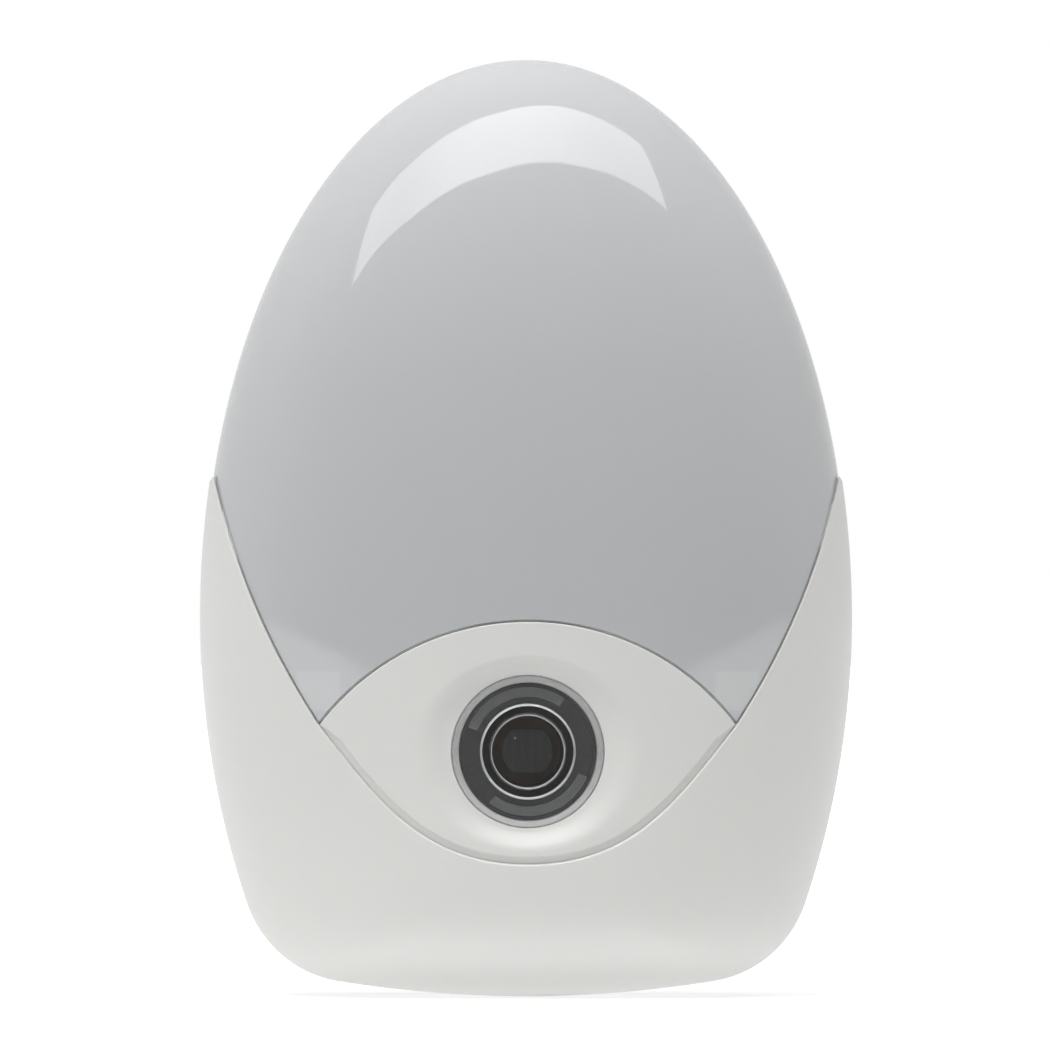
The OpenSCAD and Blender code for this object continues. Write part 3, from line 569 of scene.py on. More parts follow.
# Edge of the diffuser as a closed loop: up the left wing's arc, over the eye and up the right wing,
# then back over the crown drawn in by t. Columns are shared out so that corners fall on a point.
def diffuserEdge(t):
    n = diffuser["columns"]
    radius = parting["veeRadius"] - parting["veeGap"]
    corner = circlesMeet(veeC, radius, eyeC, eyeRadius + parting["eyeGap"])
    tip = wingPoint(radius, t)
    nWing = int(n * diffuser["wingShare"])
    wingArc = arc(veeC, radius, turnOf(veeC, tip), turnOf(veeC, corner), nWing + 1)
    eyeArc = arc(eyeC, eyeRadius + parting["eyeGap"], turnOf(eyeC, corner), math.pi / 2, n // 2 - nWing + 1)
    half = np.concatenate([wingArc[:-1], eyeArc])          # right tip to the middle
    lower = np.concatenate([mirrored(half)[::-1], half[::-1][1:]])   # left tip to right tip
    a = math.asin((tip[1] - waist) / (crown - t))
    turns = np.linspace(a, math.pi - a, n + 1)
    over = np.stack([(halfWidth - t) * np.cos(turns), waist + (crown - t) * np.sin(turns)], -1)
    return np.concatenate([lower[:-1], over[:-1]])


# Share along the slit: the lower edge runs left to right over it and the crown back again
def diffuserSpine():
    n = diffuser["columns"]
    s = -np.cos(np.linspace(0, math.pi, n + 1))
    x = np.concatenate([s[:-1], s[::-1][:-1]]) * diffuser["spineReach"]
    return np.stack([x, np.full(2 * n, diffuser["spineHeight"])], -1)


# A surface over rays from the slit to the edge: shares follow a quarter sine, so that rows crowd
# where the dome turns down, and the last rows round the edge on a quarter circle along the
# parting lines. z is the dome's height less the quarter circle's drop.
def diffuserRays(t, rows, edgeRound):
    edge, spine = diffuserEdge(t), diffuserSpine()
    n = diffuser["columns"]
    length = np.linalg.norm(edge - spine, axis=1)
    onParting = np.concatenate([np.ones(n + 1), np.zeros(n - 1)])
    fromTip = np.minimum(np.arange(n + 1), np.arange(n + 1)[::-1])
    onParting[:n + 1] = np.clip(fromTip / diffuser["roundFade"], 0, 1)
    rounding = edgeRound * onParting
    last = 1 - rounding / length
    w = np.sin(np.linspace(0, math.pi / 2, rows))[:, None] * last[None, :]
    psi = np.linspace(0, math.pi / 2, 6)[1:, None]
    shares = np.concatenate([w, 1 - (rounding / length)[None, :] * (1 - np.sin(psi))])
    drop = np.concatenate([np.zeros(w.shape), rounding[None, :] * (1 - np.cos(psi))])
    at = spine[None] + (edge - spine)[None] * shares[..., None]
    if not edgeRound:
        at, drop = at[:rows], drop[:rows]
    return at[..., 0], at[..., 1], dome(at[..., 0], at[..., 1], t) - drop


# A tongue below the edge that all but closes the gap, so that no light falls in: the edge's own
# line moved out along its normal, at two depths
def diffuserTongue():
    edge = diffuserEdge(diffuserStep)
    n = diffuser["columns"]
    slope = np.roll(edge, -1, 0) - np.roll(edge, 1, 0)
    normal = np.stack([slope[:, 1], -slope[:, 0]], -1) / np.linalg.norm(slope, axis=1)[:, None]
    onEye = (np.abs(edge[:, 0]) < eyeCorner[0]) & (edge[:, 1] < parting["eyeTop"] + 1)
    width = np.where(onEye, parting["eyeGap"] + parting["panelGap"], parting["veeGap"]) - parting["shutOff"]
    fromTip = np.minimum(np.arange(n + 1), np.arange(n + 1)[::-1])
    width[:n + 1] *= np.clip(fromTip / diffuser["tongueFade"], 0, 1)
    width[n + 1:] = 0
    top = dome(edge[:, 0], edge[:, 1], diffuserStep)
    rows = []
    upper, lower = diffuser["tongueDepth"], diffuser["tongueEnd"]
    for reach, depth in ((0, lower), (1, lower), (1, upper), (0, upper)):
        at = edge + normal * (width * reach)[:, None]
        z = np.maximum(top - depth * (width > 0), np.minimum(top, body["trayDepth"] + 0.02))
        rows.append(stand(at[:, 0], at[:, 1], z))
    return np.stack(rows)


outside = stand(*diffuserRays(diffuserStep, diffuser["rows"], diffuser["edgeRound"]))
inside = stand(*diffuserRays(lensStep + wall, diffuser["innerRows"], 0))
shell = np.concatenate([inside, diffuserTongue(), outside[::-1]])
diffuserMesh = closedMesh("diffuser_shell", [shell], wrapRows=False)
addPiece("diffuser_shell", diffuserMesh, milkyPolycarbonate, ["diffuser"])
print("diffuser made,", len(diffuserMesh.polygons), "faces")

panel = dict(
    sensorHeight=24.6,
    windowRadius=7.55,
    play=0.06,           # round the window
    seatWidth=0.7,
    windowFace=1.6,      # below the dome's crest
    windowThick=1.2,
    seatThick=1.5,
    bossWidth=1.4,       # wall round the window
    dishSide=4.0,        # how far the dish reaches beyond the window, sideways
    dishRise=2.0,        # upwards
    dishFall=2.5,        # and downwards
    grooveWidth=0.62,
    grooveDepth=0.3,
    lip=0.14,
    edgeColumns=130,     # on the upper edge and on the lower edge
    edgeCrowd=0.9,       # crowds the lower edge's points towards the corners
    grooveFade=5,        # the groove fades in over this many columns from the corners
    mouthRound=0.12,     # rounding of the bore's mouth
    rows=64,
)

cup = dict(
    wingColumns=90,      # along the parting arc on each side
    grooveColumns=80,    # along the eye's lower edge on each side
    rows=60,
    innerRows=24,
    lip=0.3,             # rounding of the edge round the opening
    ledge=1.6,           # how far it reaches in under the panel
    ledgeThick=1.2,
    ledgeBeside=0.7,     # its reach under the diffuser,
    ledgeFade=30,        # reached over this many columns from the tips
    tongueEnd=1.1,
    tipSlant=0.5,
    footCrowd=0.32,      # crowds the foot's points towards the wings' tips
)


# Opening of the cup from the left tip round to the right one: arc, groove, groove, arc. The
# columns of the wings and of the groove meet in the eye's corners.
def cupOpening(t):
    radius = parting["veeRadius"]
    tip = wingPoint(radius, t)
    wing = arc(veeC, radius, turnOf(veeC, tip), turnOf(veeC, eyeCorner), cup["wingColumns"] + 1)
    lower = resample(grooveCurve(0, 600)[::-1], np.linspace(0, 1, cup["grooveColumns"] + 1))
    half = np.concatenate([wing[:-1], lower])
    return np.concatenate([half, mirrored(half)[1:]]), tip


def cupFoot(t, tip, opening):
    n = cup["wingColumns"] + cup["grooveColumns"] + 1
    step = np.concatenate([[0], np.cumsum(np.linalg.norm(np.diff(opening[:n], axis=0), axis=1))])
    share = step / step[-1]
    half = resample(rightOutline(t, tip[1]), share * (1 - cup["footCrowd"] * (1 - share)))
    return np.concatenate([half, mirrored(half)[1:]])


# The cup's section, closed on itself and carried along the opening: up the opening's wall, round
# its lip on a quarter circle, over the dome to the foot, in across the foot's edge, back along the
# inside of the wall, and round the ledge under the panel.
def cupGrid():
    opening, tip = cupOpening(diffuserStep)           # the wings end bluntly, against the diffuser
    innerOpening, innerTip = cupOpening(wall)
    foot, innerFoot = cupFoot(0, tip - [0, cup["tipSlant"]], opening), cupFoot(wall, innerTip, innerOpening)
    length = np.maximum(np.linalg.norm(foot - opening, axis=1), 1e-6)
    ray = (foot - opening) / length[:, None]
    lip = np.minimum(cup["lip"], 0.3 * length)
    psi = np.linspace(0, math.pi / 2, 7)
    rows = []
    for p in psi:                                     # lip
        at = opening + ray * (lip * (1 - math.cos(p)))[:, None]
        rows.append(np.column_stack([at, dome(at[:, 0], at[:, 1]) - lip * (1 - math.sin(p))]))
    start = lip / length
    for s in np.sin(np.linspace(0, math.pi / 2, cup["rows"]))[1:]:   # outside
        at = opening + (foot - opening) * (start + (1 - start) * s)[:, None]
        rows.append(np.column_stack([at, dome(at[:, 0], at[:, 1])]))
    rows[-1][:, 2] = body["trayDepth"]
    rows.append(np.column_stack([innerFoot, np.full(len(innerFoot), body["trayDepth"])]))
    innerLength = np.maximum(np.linalg.norm(innerFoot - innerOpening, axis=1), 1e-6)
    for s in np.sin(np.linspace(math.pi / 2, 0, cup["innerRows"]))[1:]:   # inside
        at = innerOpening + (innerFoot - innerOpening) * s
        rows.append(np.column_stack([at, dome(at[:, 0], at[:, 1], wall)]))
    # ledge: full under the panel, narrow beside the diffuser and nothing at the tips
    n = cup["wingColumns"]
    width = np.full(len(opening), cup["ledge"])
    taper = np.clip(np.arange(n) / cup["ledgeFade"], 0, 1) * cup["ledgeBeside"]
    width[:n], width[-n:] = taper, taper[::-1]
    thick = cup["ledgeThick"] * np.clip(width / cup["ledgeBeside"], 0, 1)
    inward = np.stack([np.gradient(opening[:, 1]), -np.gradient(opening[:, 0])], -1)
    inward = inward / np.linalg.norm(inward, axis=1)[:, None]
    inward *= np.sign(np.sum(inward * ([0, 60] - opening), axis=1))[:, None]
    under = wall + lensStep + 0.05
    for side, deep in ((1, 1), (1, 0), (0, 0)):
        at = innerOpening + inward * (width * side)[:, None]
        z = dome(np.clip(np.abs(at[:, 0]), 0, halfWidth - 3), at[:, 1], under)
        rows.append(np.column_stack([at, z - thick * deep]))
    # tongue under the groove beside the panel
    groove = np.zeros(len(opening))
    groove[n:len(opening) - n] = parting["panelGap"] - parting["shutOff"]
    top = dome(opening[:, 0], opening[:, 1]) - lensStep
    upper, lower = panel["grooveDepth"] + 0.005, cup["tongueEnd"]
    for side, depth in ((0, lower), (1, lower), (1, upper), (0, upper)):
        at = opening + inward * (groove * side)[:, None]
        rows.append(np.column_stack([at, top - np.where(groove > 0, depth, lower)]))
    grid = np.stack(rows)
    return stand(grid[..., 0], grid[..., 1], grid[..., 2])


cupMesh = closedMesh("cup_shell", [cupGrid()], wrapColumns=False)
addPiece("cup_shell", cupMesh, whiteAbs, ["front_housing"])
print("cup made,", len(cupMesh.polygons), "faces")

sensorH = panel["sensorHeight"]
crest = body["trayDepth"] + body["domeDepth"]
windowZ = crest - panel["windowFace"]
seatZ = windowZ - panel["windowThick"]
tubeTop = seatZ - panel["seatThick"]


# Share f of the way from the window's rim (0) to the dish's rim (1): the point lies on the oval
# with half axes w + side f and w + rise f, found by halving
def dishShare(x, y):
    w = panel["windowRadius"] + panel["play"]
    rise = np.where(y > 0, panel["dishRise"], panel["dishFall"])
    low, high = np.zeros(x.shape), np.full(x.shape, 1.0)
    for step in range(30):
        f = (low + high) / 2
        outer = (x / (w + panel["dishSide"] * f)) ** 2 + (y / (w + rise * f)) ** 2 > 1
        low, high = np.where(outer, f, low), np.where(outer, high, f)
    return (low + high) / 2


# The panel's face: the dome, sunk to the window's plane with a soft S over the dish
def panelFace(x, h, t):
    top = dome(x, h, t)
    f = dishShare(x, h - sensorH)
    return windowZ + (top - windowZ) * (1 - np.cos(math.pi * f)) / 2


def panelGrid():
    n = panel["edgeColumns"]
    upperRadius = eyeRadius - parting["panelGap"]
    groove = grooveCurve(parting["panelGap"], 900)
    meets = np.argmax(np.hypot(*(groove - eyeC).T) > upperRadius)
    lowerHalf = resample(groove[:meets], np.linspace(0, 1, n // 2 + 1) ** panel["edgeCrowd"])
    corner = lowerHalf[-1]
    upperHalf = arc(eyeC, np.linalg.norm(corner - eyeC), turnOf(eyeC, corner), math.pi / 2, n // 2 + 1)
    right = np.concatenate([lowerHalf[:-1], upperHalf])
    edge = np.concatenate([right, mirrored(right)[1:-1]])
    fromCorner = np.clip((n // 2 - np.arange(n // 2)) / panel["grooveFade"], 0, 1)
    onGroove = np.concatenate([fromCorner, np.zeros(n // 2 + 1)])
    onGroove = np.concatenate([onGroove, onGroove[::-1][1:-1]])
    centre = np.array([0, sensorH])
    toEdge = edge - centre
    radius = np.linalg.norm(toEdge, axis=1)
    ray = toEdge / radius[:, None]
    slope = np.roll(edge, -1, 0) - np.roll(edge, 1, 0)
    normal = np.stack([slope[:, 1], -slope[:, 0]], -1) / np.linalg.norm(slope, axis=1)[:, None]
    slant = 1 / np.clip(np.abs(np.sum(normal * ray, axis=1)), 0.3, 1)
    bore = panel["windowRadius"] + panel["play"]
    seat = panel["windowRadius"] - panel["seatWidth"]
    boss = panel["windowRadius"] + panel["bossWidth"]
    rows = []

    def ring(r, z):
        at = centre + ray * np.broadcast_to(r, radius.shape)[:, None]
        rows.append(np.column_stack([at, z if np.ndim(z) else np.full(len(at), z)]))

    def face(r, drop=0.0, under=0.0):
        at = centre + ray * np.broadcast_to(r, radius.shape)[:, None]
        z = panelFace(at[:, 0], at[:, 1], lensStep) - drop - under
        rows.append(np.column_stack([at, z]))

    ring(seat, tubeTop)
    ring(seat, seatZ)
    ring(bore, seatZ)
    soft = panel["mouthRound"]
    for p in np.linspace(0, math.pi / 2, 5):
        ring(bore + soft * (1 - math.cos(p)), windowZ - soft * (1 - math.sin(p)))
    groove = panel["grooveWidth"] * onGroove
    lip = panel["lip"]
    reachEnd = radius - (groove + lip) * slant
    for s in np.linspace(0, 1, panel["rows"])[1:]:
        r = bore + soft + (reachEnd - bore - soft) * s
        face(r)
    for p in np.linspace(0, math.pi / 2, 6)[1:]:      # lip, then the groove's wall and floor
        face(radius - (groove + lip * (1 - math.sin(p))) * slant, lip * (1 - math.cos(p)))
    fall = lip + (panel["grooveDepth"] - lip) * onGroove
    face(radius - groove * slant, fall)
    face(radius, fall)
    ring(radius, dome(edge[:, 0], edge[:, 1], lensStep + wall))
    for s in np.linspace(0, 1, 16)[1:]:               # underside, in to the wall round the window
        r = radius + (boss - radius) * s
        face(r, 0, wall)
    ring(boss, tubeTop)
    grid = np.stack(rows)
    return stand(grid[..., 0], grid[..., 1], grid[..., 2])


panelMesh = closedMesh("panel_shell", [panelGrid()])
addPiece("panel_shell", panelMesh, whiteAbs, ["sensor_panel"])
print("panel made,", len(panelMesh.polygons), "faces")


# A profile of (radius, height) points turned about a line through centre along axis; its corners
# come rounded from roundCorners
def turned(profile, centre, axis, columns=96):
    profile = np.asarray(profile, float) * mm
    a = np.linspace(0, 2 * math.pi, columns, endpoint=False)
    axis = np.asarray(axis, float)
    side = np.cross(axis, [0, 0, 1.0] if abs(axis[2]) < 0.9 else [1.0, 0, 0])
    side /= np.linalg.norm(side)
    other = np.cross(axis, side)
    around = np.cos(a)[:, None] * side + np.sin(a)[:, None] * other
    return np.asarray(centre) + profile[:, 0, None, None] * around + profile[:, 1, None, None] * axis


# Replaces each corner of a polyline that has a radius with an arc of n points, tangent to both
# sides, and a point a little way off on each side, which keeps the flats flat in smooth shading
def roundCorners(points, radii, n=5, guard=0.04):
    points = np.asarray(points, float)
    out = []
    for i, (p, r) in enumerate(zip(points, radii)):
        if not r or i in (0, len(points) - 1):
            out.append(p[None])
            continue
        u, v = points[i - 1] - p, points[i + 1] - p
        u, v = u / np.linalg.norm(u), v / np.linalg.norm(v)
        half = math.acos(np.clip(u @ v, -1, 1)) / 2
        back = r / math.tan(half)
        middle = p + (u + v) / np.linalg.norm(u + v) * r / math.sin(half)
        a0 = math.atan2(*(p + u * back - middle)[::-1])
        a1 = math.atan2(*(p + v * back - middle)[::-1])
        turn = (a1 - a0 + math.pi) % (2 * math.pi) - math.pi
        before, after = p + u * (back + guard), p + v * (back + guard)
        out += [before[None], arc(middle, r, a0, a0 + turn, n), after[None]]
    return np.concatenate(out)


forwards = np.array([0.0, -1.0, 0.0])   # out of the front, along the body's z


def onBody(x, h, z):
    return stand(np.float64(x), np.float64(h), np.float64(z))


window = dict(
    back=0.02,           # it stands this far off its seat
    ringOuter=(4.7, 4.66),           # at its foot and at its top
    ringInner=(3.65, 3.7),
    ringRise=0.45,
    armOuter=6.4,
    armThick=0.95,
    armLength=3.4,
    armGap=0.03,         # under the flange
    armColumns=40,
    armEnds=(0.0, 0.94, 0.985),      # size of the section towards the ends
    arms=((55, 158), (233, 337)),
)


# A snap arm: a rounded oblong section carried along an arc about the window's middle, closed at
# both ends by drawing the section in to its own middle line
def snapArm(a0, a1):
    low, high = window["armOuter"] - window["armThick"], window["armOuter"]
    top, foot, n = -window["armGap"], -window["armLength"], window["armColumns"]
    section = roundCorners(
        [[low + 0.3, top], [low, top], [low, foot], [high, foot], [high, top], [low + 0.31, top]],
        [0, 0.05, 0.12, 0.12, 0.05, 0], 4, 0.01)
    middle = np.array([(low + high) / 2, foot / 2])
    turns = np.radians(np.concatenate([[a0] * 2, np.linspace(a0, a1, n), [a1] * 2]))
    size = np.concatenate([window["armEnds"], np.ones(n - 2), window["armEnds"][::-1]])
    nudge = np.concatenate([[0, 0, 0.01], np.zeros(n - 2), [-0.01, 0, 0]])
    points = middle + (section - middle)[None] * size[:, None, None]
    angle = (turns + nudge)[:, None]
    x = points[..., 0] * np.cos(angle)
    y = points[..., 0] * np.sin(angle)
    return stand(x, sensorH + y, seatZ + points[..., 1])


back, face, ringTop = window["back"], panel["windowThick"], panel["windowThick"] + window["ringRise"]
(outerFoot, outerTop), (innerFoot, innerTop) = window["ringOuter"], window["ringInner"]
windowProfile = roundCorners(
    [[0, back], [panel["windowRadius"], back], [panel["windowRadius"], face], [outerFoot, face],
     [outerTop, ringTop], [innerTop, ringTop], [innerFoot, face], [0, face]],
    [0, 0.08, 0.25, 0.08, 0.16, 0.16, 0.08, 0], 7)
flange = turned(windowProfile, onBody(0, sensorH, seatZ), forwards, 160)
windowMesh = closedMesh("window_flange", [flange], wrapRows=False)
addPiece("window_flange", windowMesh, clearPolycarbonate, ["sensor_window"])
for i, (a0, a1) in enumerate(window["arms"]):
    armMesh = closedMesh("window_arm_%d" % (i + 1), [snapArm(a0, a1)], wrapRows=False)
    addPiece("window_arm_%d" % (i + 1), armMesh, mistyPolycarbonate, ["sensor_window"])

tube = dict(outer=8.2, inner=6.7, floor=1.0, hole=3.4)
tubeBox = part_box("sensor_tube")
tubeHeight = (tubeBox[1].y - tubeBox[0].y) / mm
tubeProfile = roundCorners(
    [[tube["hole"], 0], [tube["outer"], 0], [tube["outer"], tubeHeight], [tube["inner"], tubeHeight],
     [tube["inner"], tube["floor"]], [tube["hole"], tube["floor"]], [tube["hole"], 0]],
    [0, 0.2, 0.25, 0.25, 0.3, 0.1, 0], 5)
tubeFoot = [0, tubeBox[1].y, bottomZ + sensorH * mm]
tubeMesh = closedMesh("light_tube", [turned(tubeProfile, tubeFoot, forwards)])
addPiece("light_tube", tubeMesh, blackAbs, ["sensor_tube"])
print("window and tube made")

# Radii, and places along the pin from the plug's face outwards
pin = dict(
    radius=2.0,
    length=19.0,
    tipRound=1.0,
    shank=1.4,           # radius under the sleeve, which ends at bareFrom
    bareFrom=10.0,
    head=2.75,
    headEnds=(-4.7, -3.1),
    tail=0.9,
    tailEnd=-8.0,
)
sleeve = dict(radius=1.8, bore=1.45, ends=(-2.9, 9.95))
backwards = np.array([0.0, 1.0, 0.0])
roots = [[mounts[m][0], mounts["plug_face"][1], mounts[m][2]] for m in ("pin_left", "pin_right")]
tailRadius, headRadius, shankRadius, pinRadius = pin["tail"], pin["head"], pin["shank"], pin["radius"]
headLow, headHigh = pin["headEnds"]
pinProfile = roundCorners(
    [[0, pin["tailEnd"]], [tailRadius, pin["tailEnd"]], [tailRadius, headLow], [headRadius, headLow],
     [headRadius, headHigh], [shankRadius, headHigh], [shankRadius, pin["bareFrom"]],
     [pinRadius, pin["bareFrom"]], [pinRadius, pin["length"]], [0, pin["length"]]],
    [0, 0.15, 0.05, 0.2, 0.2, 0.05, 0.05, 0.12, pin["tipRound"], 0], 7)
for name, root in zip(("left_pin", "right_pin"), roots):
    pinMesh = closedMesh(name + "_turned", [turned(pinProfile, root, backwards, 72)], wrapRows=False)
    addPiece(name + "_turned", pinMesh, nickelPlate, [name])
low, high = sleeve["ends"]
sleeveProfile = roundCorners(
    [[sleeve["bore"], low], [sleeve["radius"], low], [sleeve["radius"], high], [sleeve["bore"], high],
     [sleeve["bore"], low]], [0, 0.05, 0.1, 0.05, 0], 5)
sleeveMesh = closedMesh("pin_sleeves_moulded", [turned(sleeveProfile, root, backwards, 72) for root in roots])
addPiece("pin_sleeves_moulded", sleeveMesh, blackNylon, ["pin_sleeves"])

tray = dict(
    edgeRound=0.8,
    blockRound=0.5,
    segments=4,
    drawnIn=0.38,        # behind the cup and the diffuser
    rimWidth=1.0,        # what lies this near the outline belongs to the rim
    cuts=(-21.0, -9.5, 0.0, 9.5, 21.0),   # through the screws, the pins and the middle
    blockReach=(19.0, 8.0),               # half size of the region round the plug's block
    pinClear=3.2,        # radius round a pin that stays sharp
)


# Whether points of the back plate lie within the rim's width of the outline
def nearOutline(x, h):
    t = tray["rimWidth"]
    ellipse = (x / (halfWidth - t)) ** 2 + ((h - waist) / (crown - t)) ** 2
    return np.where(h > waist, ellipse > 1, ~inLowerHalf(x, h, t))


# Draws the tray's outer wall in towards the waist's middle
def drawIn(mesh):
    points = np.empty(len(mesh.vertices) * 3)
    mesh.vertices.foreach_get("co", points)
    points = points.reshape(-1, 3)
    x, h = points[:, 0] / mm, (points[:, 2] - bottomZ) / mm
    share = 1 - tray["drawnIn"] / np.maximum(np.hypot(x, h - waist), 1)
    share = np.where(nearOutline(np.abs(x), h), share, 1)
    points[:, 0] = x * share * mm
    points[:, 2] = bottomZ + (waist + (h - waist) * share) * mm
    mesh.vertices.foreach_set("co", points.ravel())
    mesh.update()


# Marks the outer edges of the tray for the bevel: convex ones on the back's rim, and those of the
# plug's block away from the pins. Holes and the inside stay sharp.
def markEdges(mesh):
    work = bmesh.new()
    work.from_mesh(mesh)
    weight = work.edges.layers.float.new("bevel_weight_edge")
    pins = [np.array([mounts[m][0], mounts[m][2]]) for m in ("pin_left", "pin_right")]
    for edge in work.edges:
        if not edge.is_manifold or edge.calc_face_angle_signed(0) < math.radians(35):
            continue
        a, b = (np.array(v.co) for v in edge.verts)
        x, y, z = (a + b) / 2
        byPin = min(np.linalg.norm((x, z) - p) for p in pins) < tray["pinClear"] * mm
        nearBlock = abs(x) < tray["blockReach"][0] * mm and abs(z) < tray["blockReach"][1] * mm
        if y > backY + 0.05 * mm and nearBlock and not byPin:
            edge[weight] = tray["blockRound"] / tray["edgeRound"]
        onBack = abs(a[1] - backY) < 0.01 * mm and abs(b[1] - backY) < 0.01 * mm
        if onBack and not nearBlock and nearOutline(abs(x) / mm, (z - bottomZ) / mm):
            edge[weight] = 1.0
    work.to_mesh(mesh)
    work.free()


trayMesh = mergedCopy("rear_housing", "rear_tray", tray["cuts"])
markEdges(trayMesh)
drawIn(trayMesh)
trayPiece = addPiece("rear_tray", trayMesh, whiteAbs, ["rear_housing"], sharpAngle=30)
rounding = trayPiece.modifiers.new("edge_round", "BEVEL")
rounding.width = tray["edgeRound"] * mm
rounding.segments = tray["segments"]
rounding.limit_method = "WEIGHT"
rounding.use_clamp_overlap = False
flats = trayPiece.modifiers.new("flat_shading", "WEIGHTED_NORMAL")   # large faces keep their own normal
flats.weight = 100
flats.keep_sharp = True
print("tray and pins made")

# Every CAD node has the finish of the piece that stands for it, or its own
for finish, names in (
        (whiteAbs, ("front_housing", "sensor_panel", "rear_housing", "pin_clamp")),
        (milkyPolycarbonate, ("diffuser",)),
        (clearPolycarbonate, ("sensor_window",)),
        (blackAbs, ("sensor_tube",)),
        (coatedCell, ("photocell",)),
        (nickelPlate, ("left_pin", "right_pin")),
        (blackNylon, ("pin_sleeves",)),
        (zincPlate, ("clamp_screw", "board_screws", "housing_screws")),
        (brassStrip, ("contact_tags",)),
        (redPvc, ("lead_wires",)),
        (paperBoard, ("circuit_board",)),
        (whiteGloss, ("reflector",)),
        (castEpoxy, ("leds",)),
        (ochreBox, ("dropper_capacitor",)),
        (blueSleeve, ("smoothing_capacitor",)),
        (blackEpoxy, ("bridge_rectifier", "transistor")),
        (greenLacquer, ("fusible_resistor",)),
        (orangeGlass, ("zener_diode",)),
        (tanLacquer, ("resistors",))):
    for name in names:
        for slot in nodes[name].material_slots:
            slot.material = finish
        if not nodes[name].material_slots:
            nodes[name].data.materials.append(finish)
print("finishes set")

stage = dict(
    floorSize=14.0,
    floorFront=0.9,            # the table ends this far in front of the object
    floorTone="#c4c4c4",
    floorToneB="#c8c8c8",
    floorSeen=(0.58, 1.18),    # it is lit from below: its glow to the eye, near and far,
    floorLights=(0.66, 0.15),  # and its glow as light on the object
    seenReach=(0.15, 0.6),     # distances between which the first changes
    lightsReach=(0.02, 0.12),  # and the second
    ambient=0.47,              # the room as light
    ambientSides=(1.24, 0.74), # times this on the left and on the right
    mirrorFront=0.2,           # the room in mirrors: dark behind the camera, white behind the object
    mirrorBack=1.0,
    mirrorSides=(0.88, 0.68),
)

# The photograph's key light, a long softbox worked out from the outline of its reflection in the
# diffuser: corners in its own plane, and a brighter middle where the lamp stands behind the cloth
softbox = dict(
    centre=(-0.390, -0.329, 0.975),
    turn=(0.748, 0.150, 0.158),
    lower=((-1.150, -0.215), (-0.700, -0.228), (-0.280, -0.285),
           (0.230, -0.309), (0.660, -0.257), (1.105, -0.155)),
    upper=((1.128, 0.320), (0.620, 0.274), (0.250, 0.205),
           (-0.205, 0.250), (-0.786, 0.346), (-1.110, 0.345)),
    radiance=3.45,
    hotSpot=1.3,         # more than that at the brightest point
    hotAt=0.25,
    hotReach=(0.1, 0.72),
)


# A single flat face through the given corners
def flatPiece(name, corners, material):
    mesh = bpy.data.meshes.new(name)
    mesh.from_pydata(corners, [], [tuple(range(len(corners)))])
    mesh.materials.append(material)
    piece = bpy.data.objects.new(name, mesh)
    bpy.context.scene.collection.objects.link(piece)
    return piece


# A pale table of opal acrylic, lit from below, whose glow is separate to the eye and as light
def stageFloor():
    material, tree = newMaterial("pale_floor")
    place = add(tree, "TexCoord").outputs["Object"]
    clouds = add(tree, "TexNoise", {"Vector": place, "Scale": 3.0, "Detail": 2.0})
    colour = add(tree, "Mix", {0: clouds, 6: stage["floorTone"], 7: stage["floorToneB"]}, data_type="RGBA")
    lit = add(tree, "BsdfDiffuse", {"Color": colour})
    path = add(tree, "LightPath")
    seen = add(tree, "Math", [path.outputs["Is Camera Ray"], path.outputs["Is Glossy Ray"]], operation="ADD")
    seen = add(tree, "Math", [seen, path.outputs["Is Transmission Ray"]], operation="ADD")
    away = add(tree, "VectorMath", [place], operation="LENGTH")
    asLight, toEye = [add(tree, "MapRange", [away, *reach, *glow], interpolation_type="SMOOTHSTEP")
                      for reach, glow in ((stage["lightsReach"], stage["floorLights"]),
                                          (stage["seenReach"], stage["floorSeen"]))]
    level = add(tree, "Mix", {0: seen, 2: asLight, 3: toEye})
    glow = add(tree, "Emission", {"Color": (1, 1, 1, 1), "Strength": level})
    both = add(tree, "AddShader", [lit, glow])
    add(tree, "OutputMaterial", {"Surface": both})
    half, front = stage["floorSize"] / 2, -stage["floorFront"]
    corners = [(x, y, bottomZ) for x, y in ((-half, front), (half, front), (half, half), (-half, half))]
    floor = flatPiece("floor", corners, material)


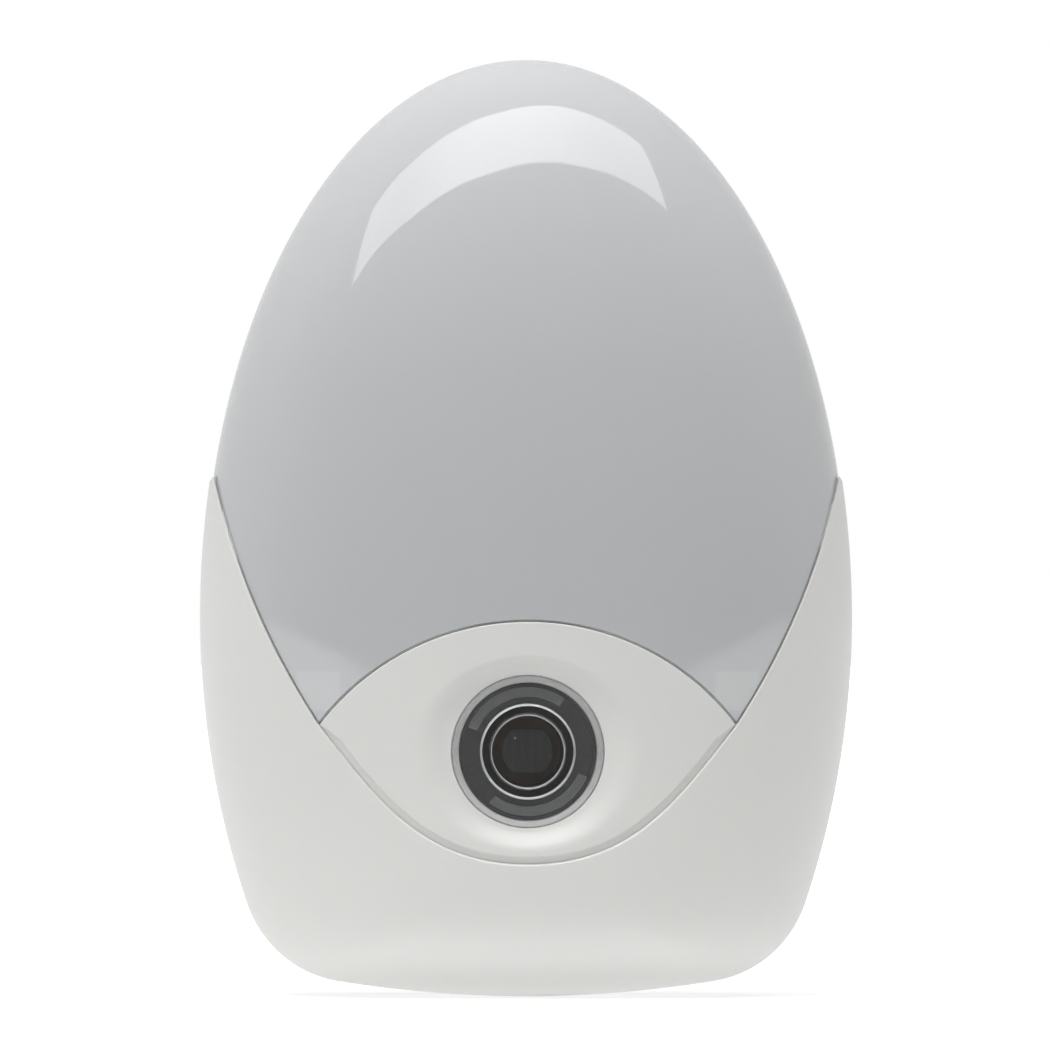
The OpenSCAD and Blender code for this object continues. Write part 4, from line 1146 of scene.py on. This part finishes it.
# The room: white to the camera, a soft grey level as light, and in mirrors white behind the object
# and dark behind the camera, brighter on the left than on the right
def stageWorld():
    world = bpy.data.worlds.new("studio")
    bpy.context.scene.world = world
    world.use_nodes = True
    tree = world.node_tree
    tree.nodes.clear()
    way = add(tree, "TexCoord").outputs["Generated"]
    parts = add(tree, "SeparateXYZ", {"Vector": way})
    sides = [add(tree, "MapRange", [parts.outputs[0], -0.8, 0.8, left, right])
             for left, right in (stage["ambientSides"], stage["mirrorSides"])]
    depth = add(tree, "MapRange", [parts.outputs[1], -0.9, 0.3, stage["mirrorFront"], stage["mirrorBack"]],
                interpolation_type="SMOOTHSTEP")
    asLight = add(tree, "Math", [sides[0], stage["ambient"]], operation="MULTIPLY")
    asMirror = add(tree, "Math", [sides[1], depth], operation="MULTIPLY")
    path = add(tree, "LightPath")
    sharp = [path.outputs["Is Glossy Ray"], path.outputs["Is Transmission Ray"]]
    sharp = add(tree, "Math", sharp, operation="MAXIMUM")
    level = add(tree, "Mix", {0: sharp, 2: asLight, 3: asMirror})
    level = add(tree, "Mix", {0: path.outputs["Is Camera Ray"], 2: level, 3: 1.0})
    background = add(tree, "Background", {"Color": (1, 1, 1, 1), "Strength": level})
    add(tree, "OutputWorld", {"Surface": background})


# A flat glowing panel, which the camera looks through
def stageSoftbox():
    material, tree = newMaterial("lit_cloth")
    across = add(tree, "SeparateXYZ", {"Vector": add(tree, "TexCoord").outputs["Object"]}).outputs[0]
    away = add(tree, "Math", [across, softbox["hotAt"]], operation="SUBTRACT")
    away = add(tree, "Math", [away], operation="ABSOLUTE")
    brightest = softbox["radiance"] + softbox["hotSpot"]
    strength = add(tree, "MapRange", [away, *softbox["hotReach"], brightest, softbox["radiance"]],
                   interpolation_type="SMOOTHSTEP")
    glow = add(tree, "Emission", {"Color": (1, 1, 1, 1), "Strength": strength})
    add(tree, "OutputMaterial", {"Surface": glow})
    corners = [(x, y, 0.0) for x, y in softbox["lower"] + softbox["upper"]]
    panelLight = flatPiece("softbox_overhead", corners, material)
    panelLight.location = softbox["centre"]
    panelLight.rotation_euler = softbox["turn"]
    panelLight.visible_camera = False


stageFloor()
stageWorld()
stageSoftbox()

view = dict(distance=3.0, frameWidth=0.105, aim=(-0.0001, -0.026, 0.0126), left=0.5)
lens = bpy.data.cameras.new("camera")
lens.sensor_width = 36
lens.lens = 36 * view["distance"] / view["frameWidth"]
lens.clip_start, lens.clip_end = 0.05, 20
camera = bpy.data.objects.new("camera", lens)
bpy.context.scene.collection.objects.link(camera)
swing = math.radians(view["left"])
camera.location = (view["aim"][0] - view["distance"] * math.sin(swing),
                   view["aim"][1] - view["distance"] * math.cos(swing), view["aim"][2])
camera.rotation_euler = (math.pi / 2, 0, -swing)
bpy.context.scene.camera = camera
bpy.context.scene.view_settings.view_transform = "Standard"
print("stage set")
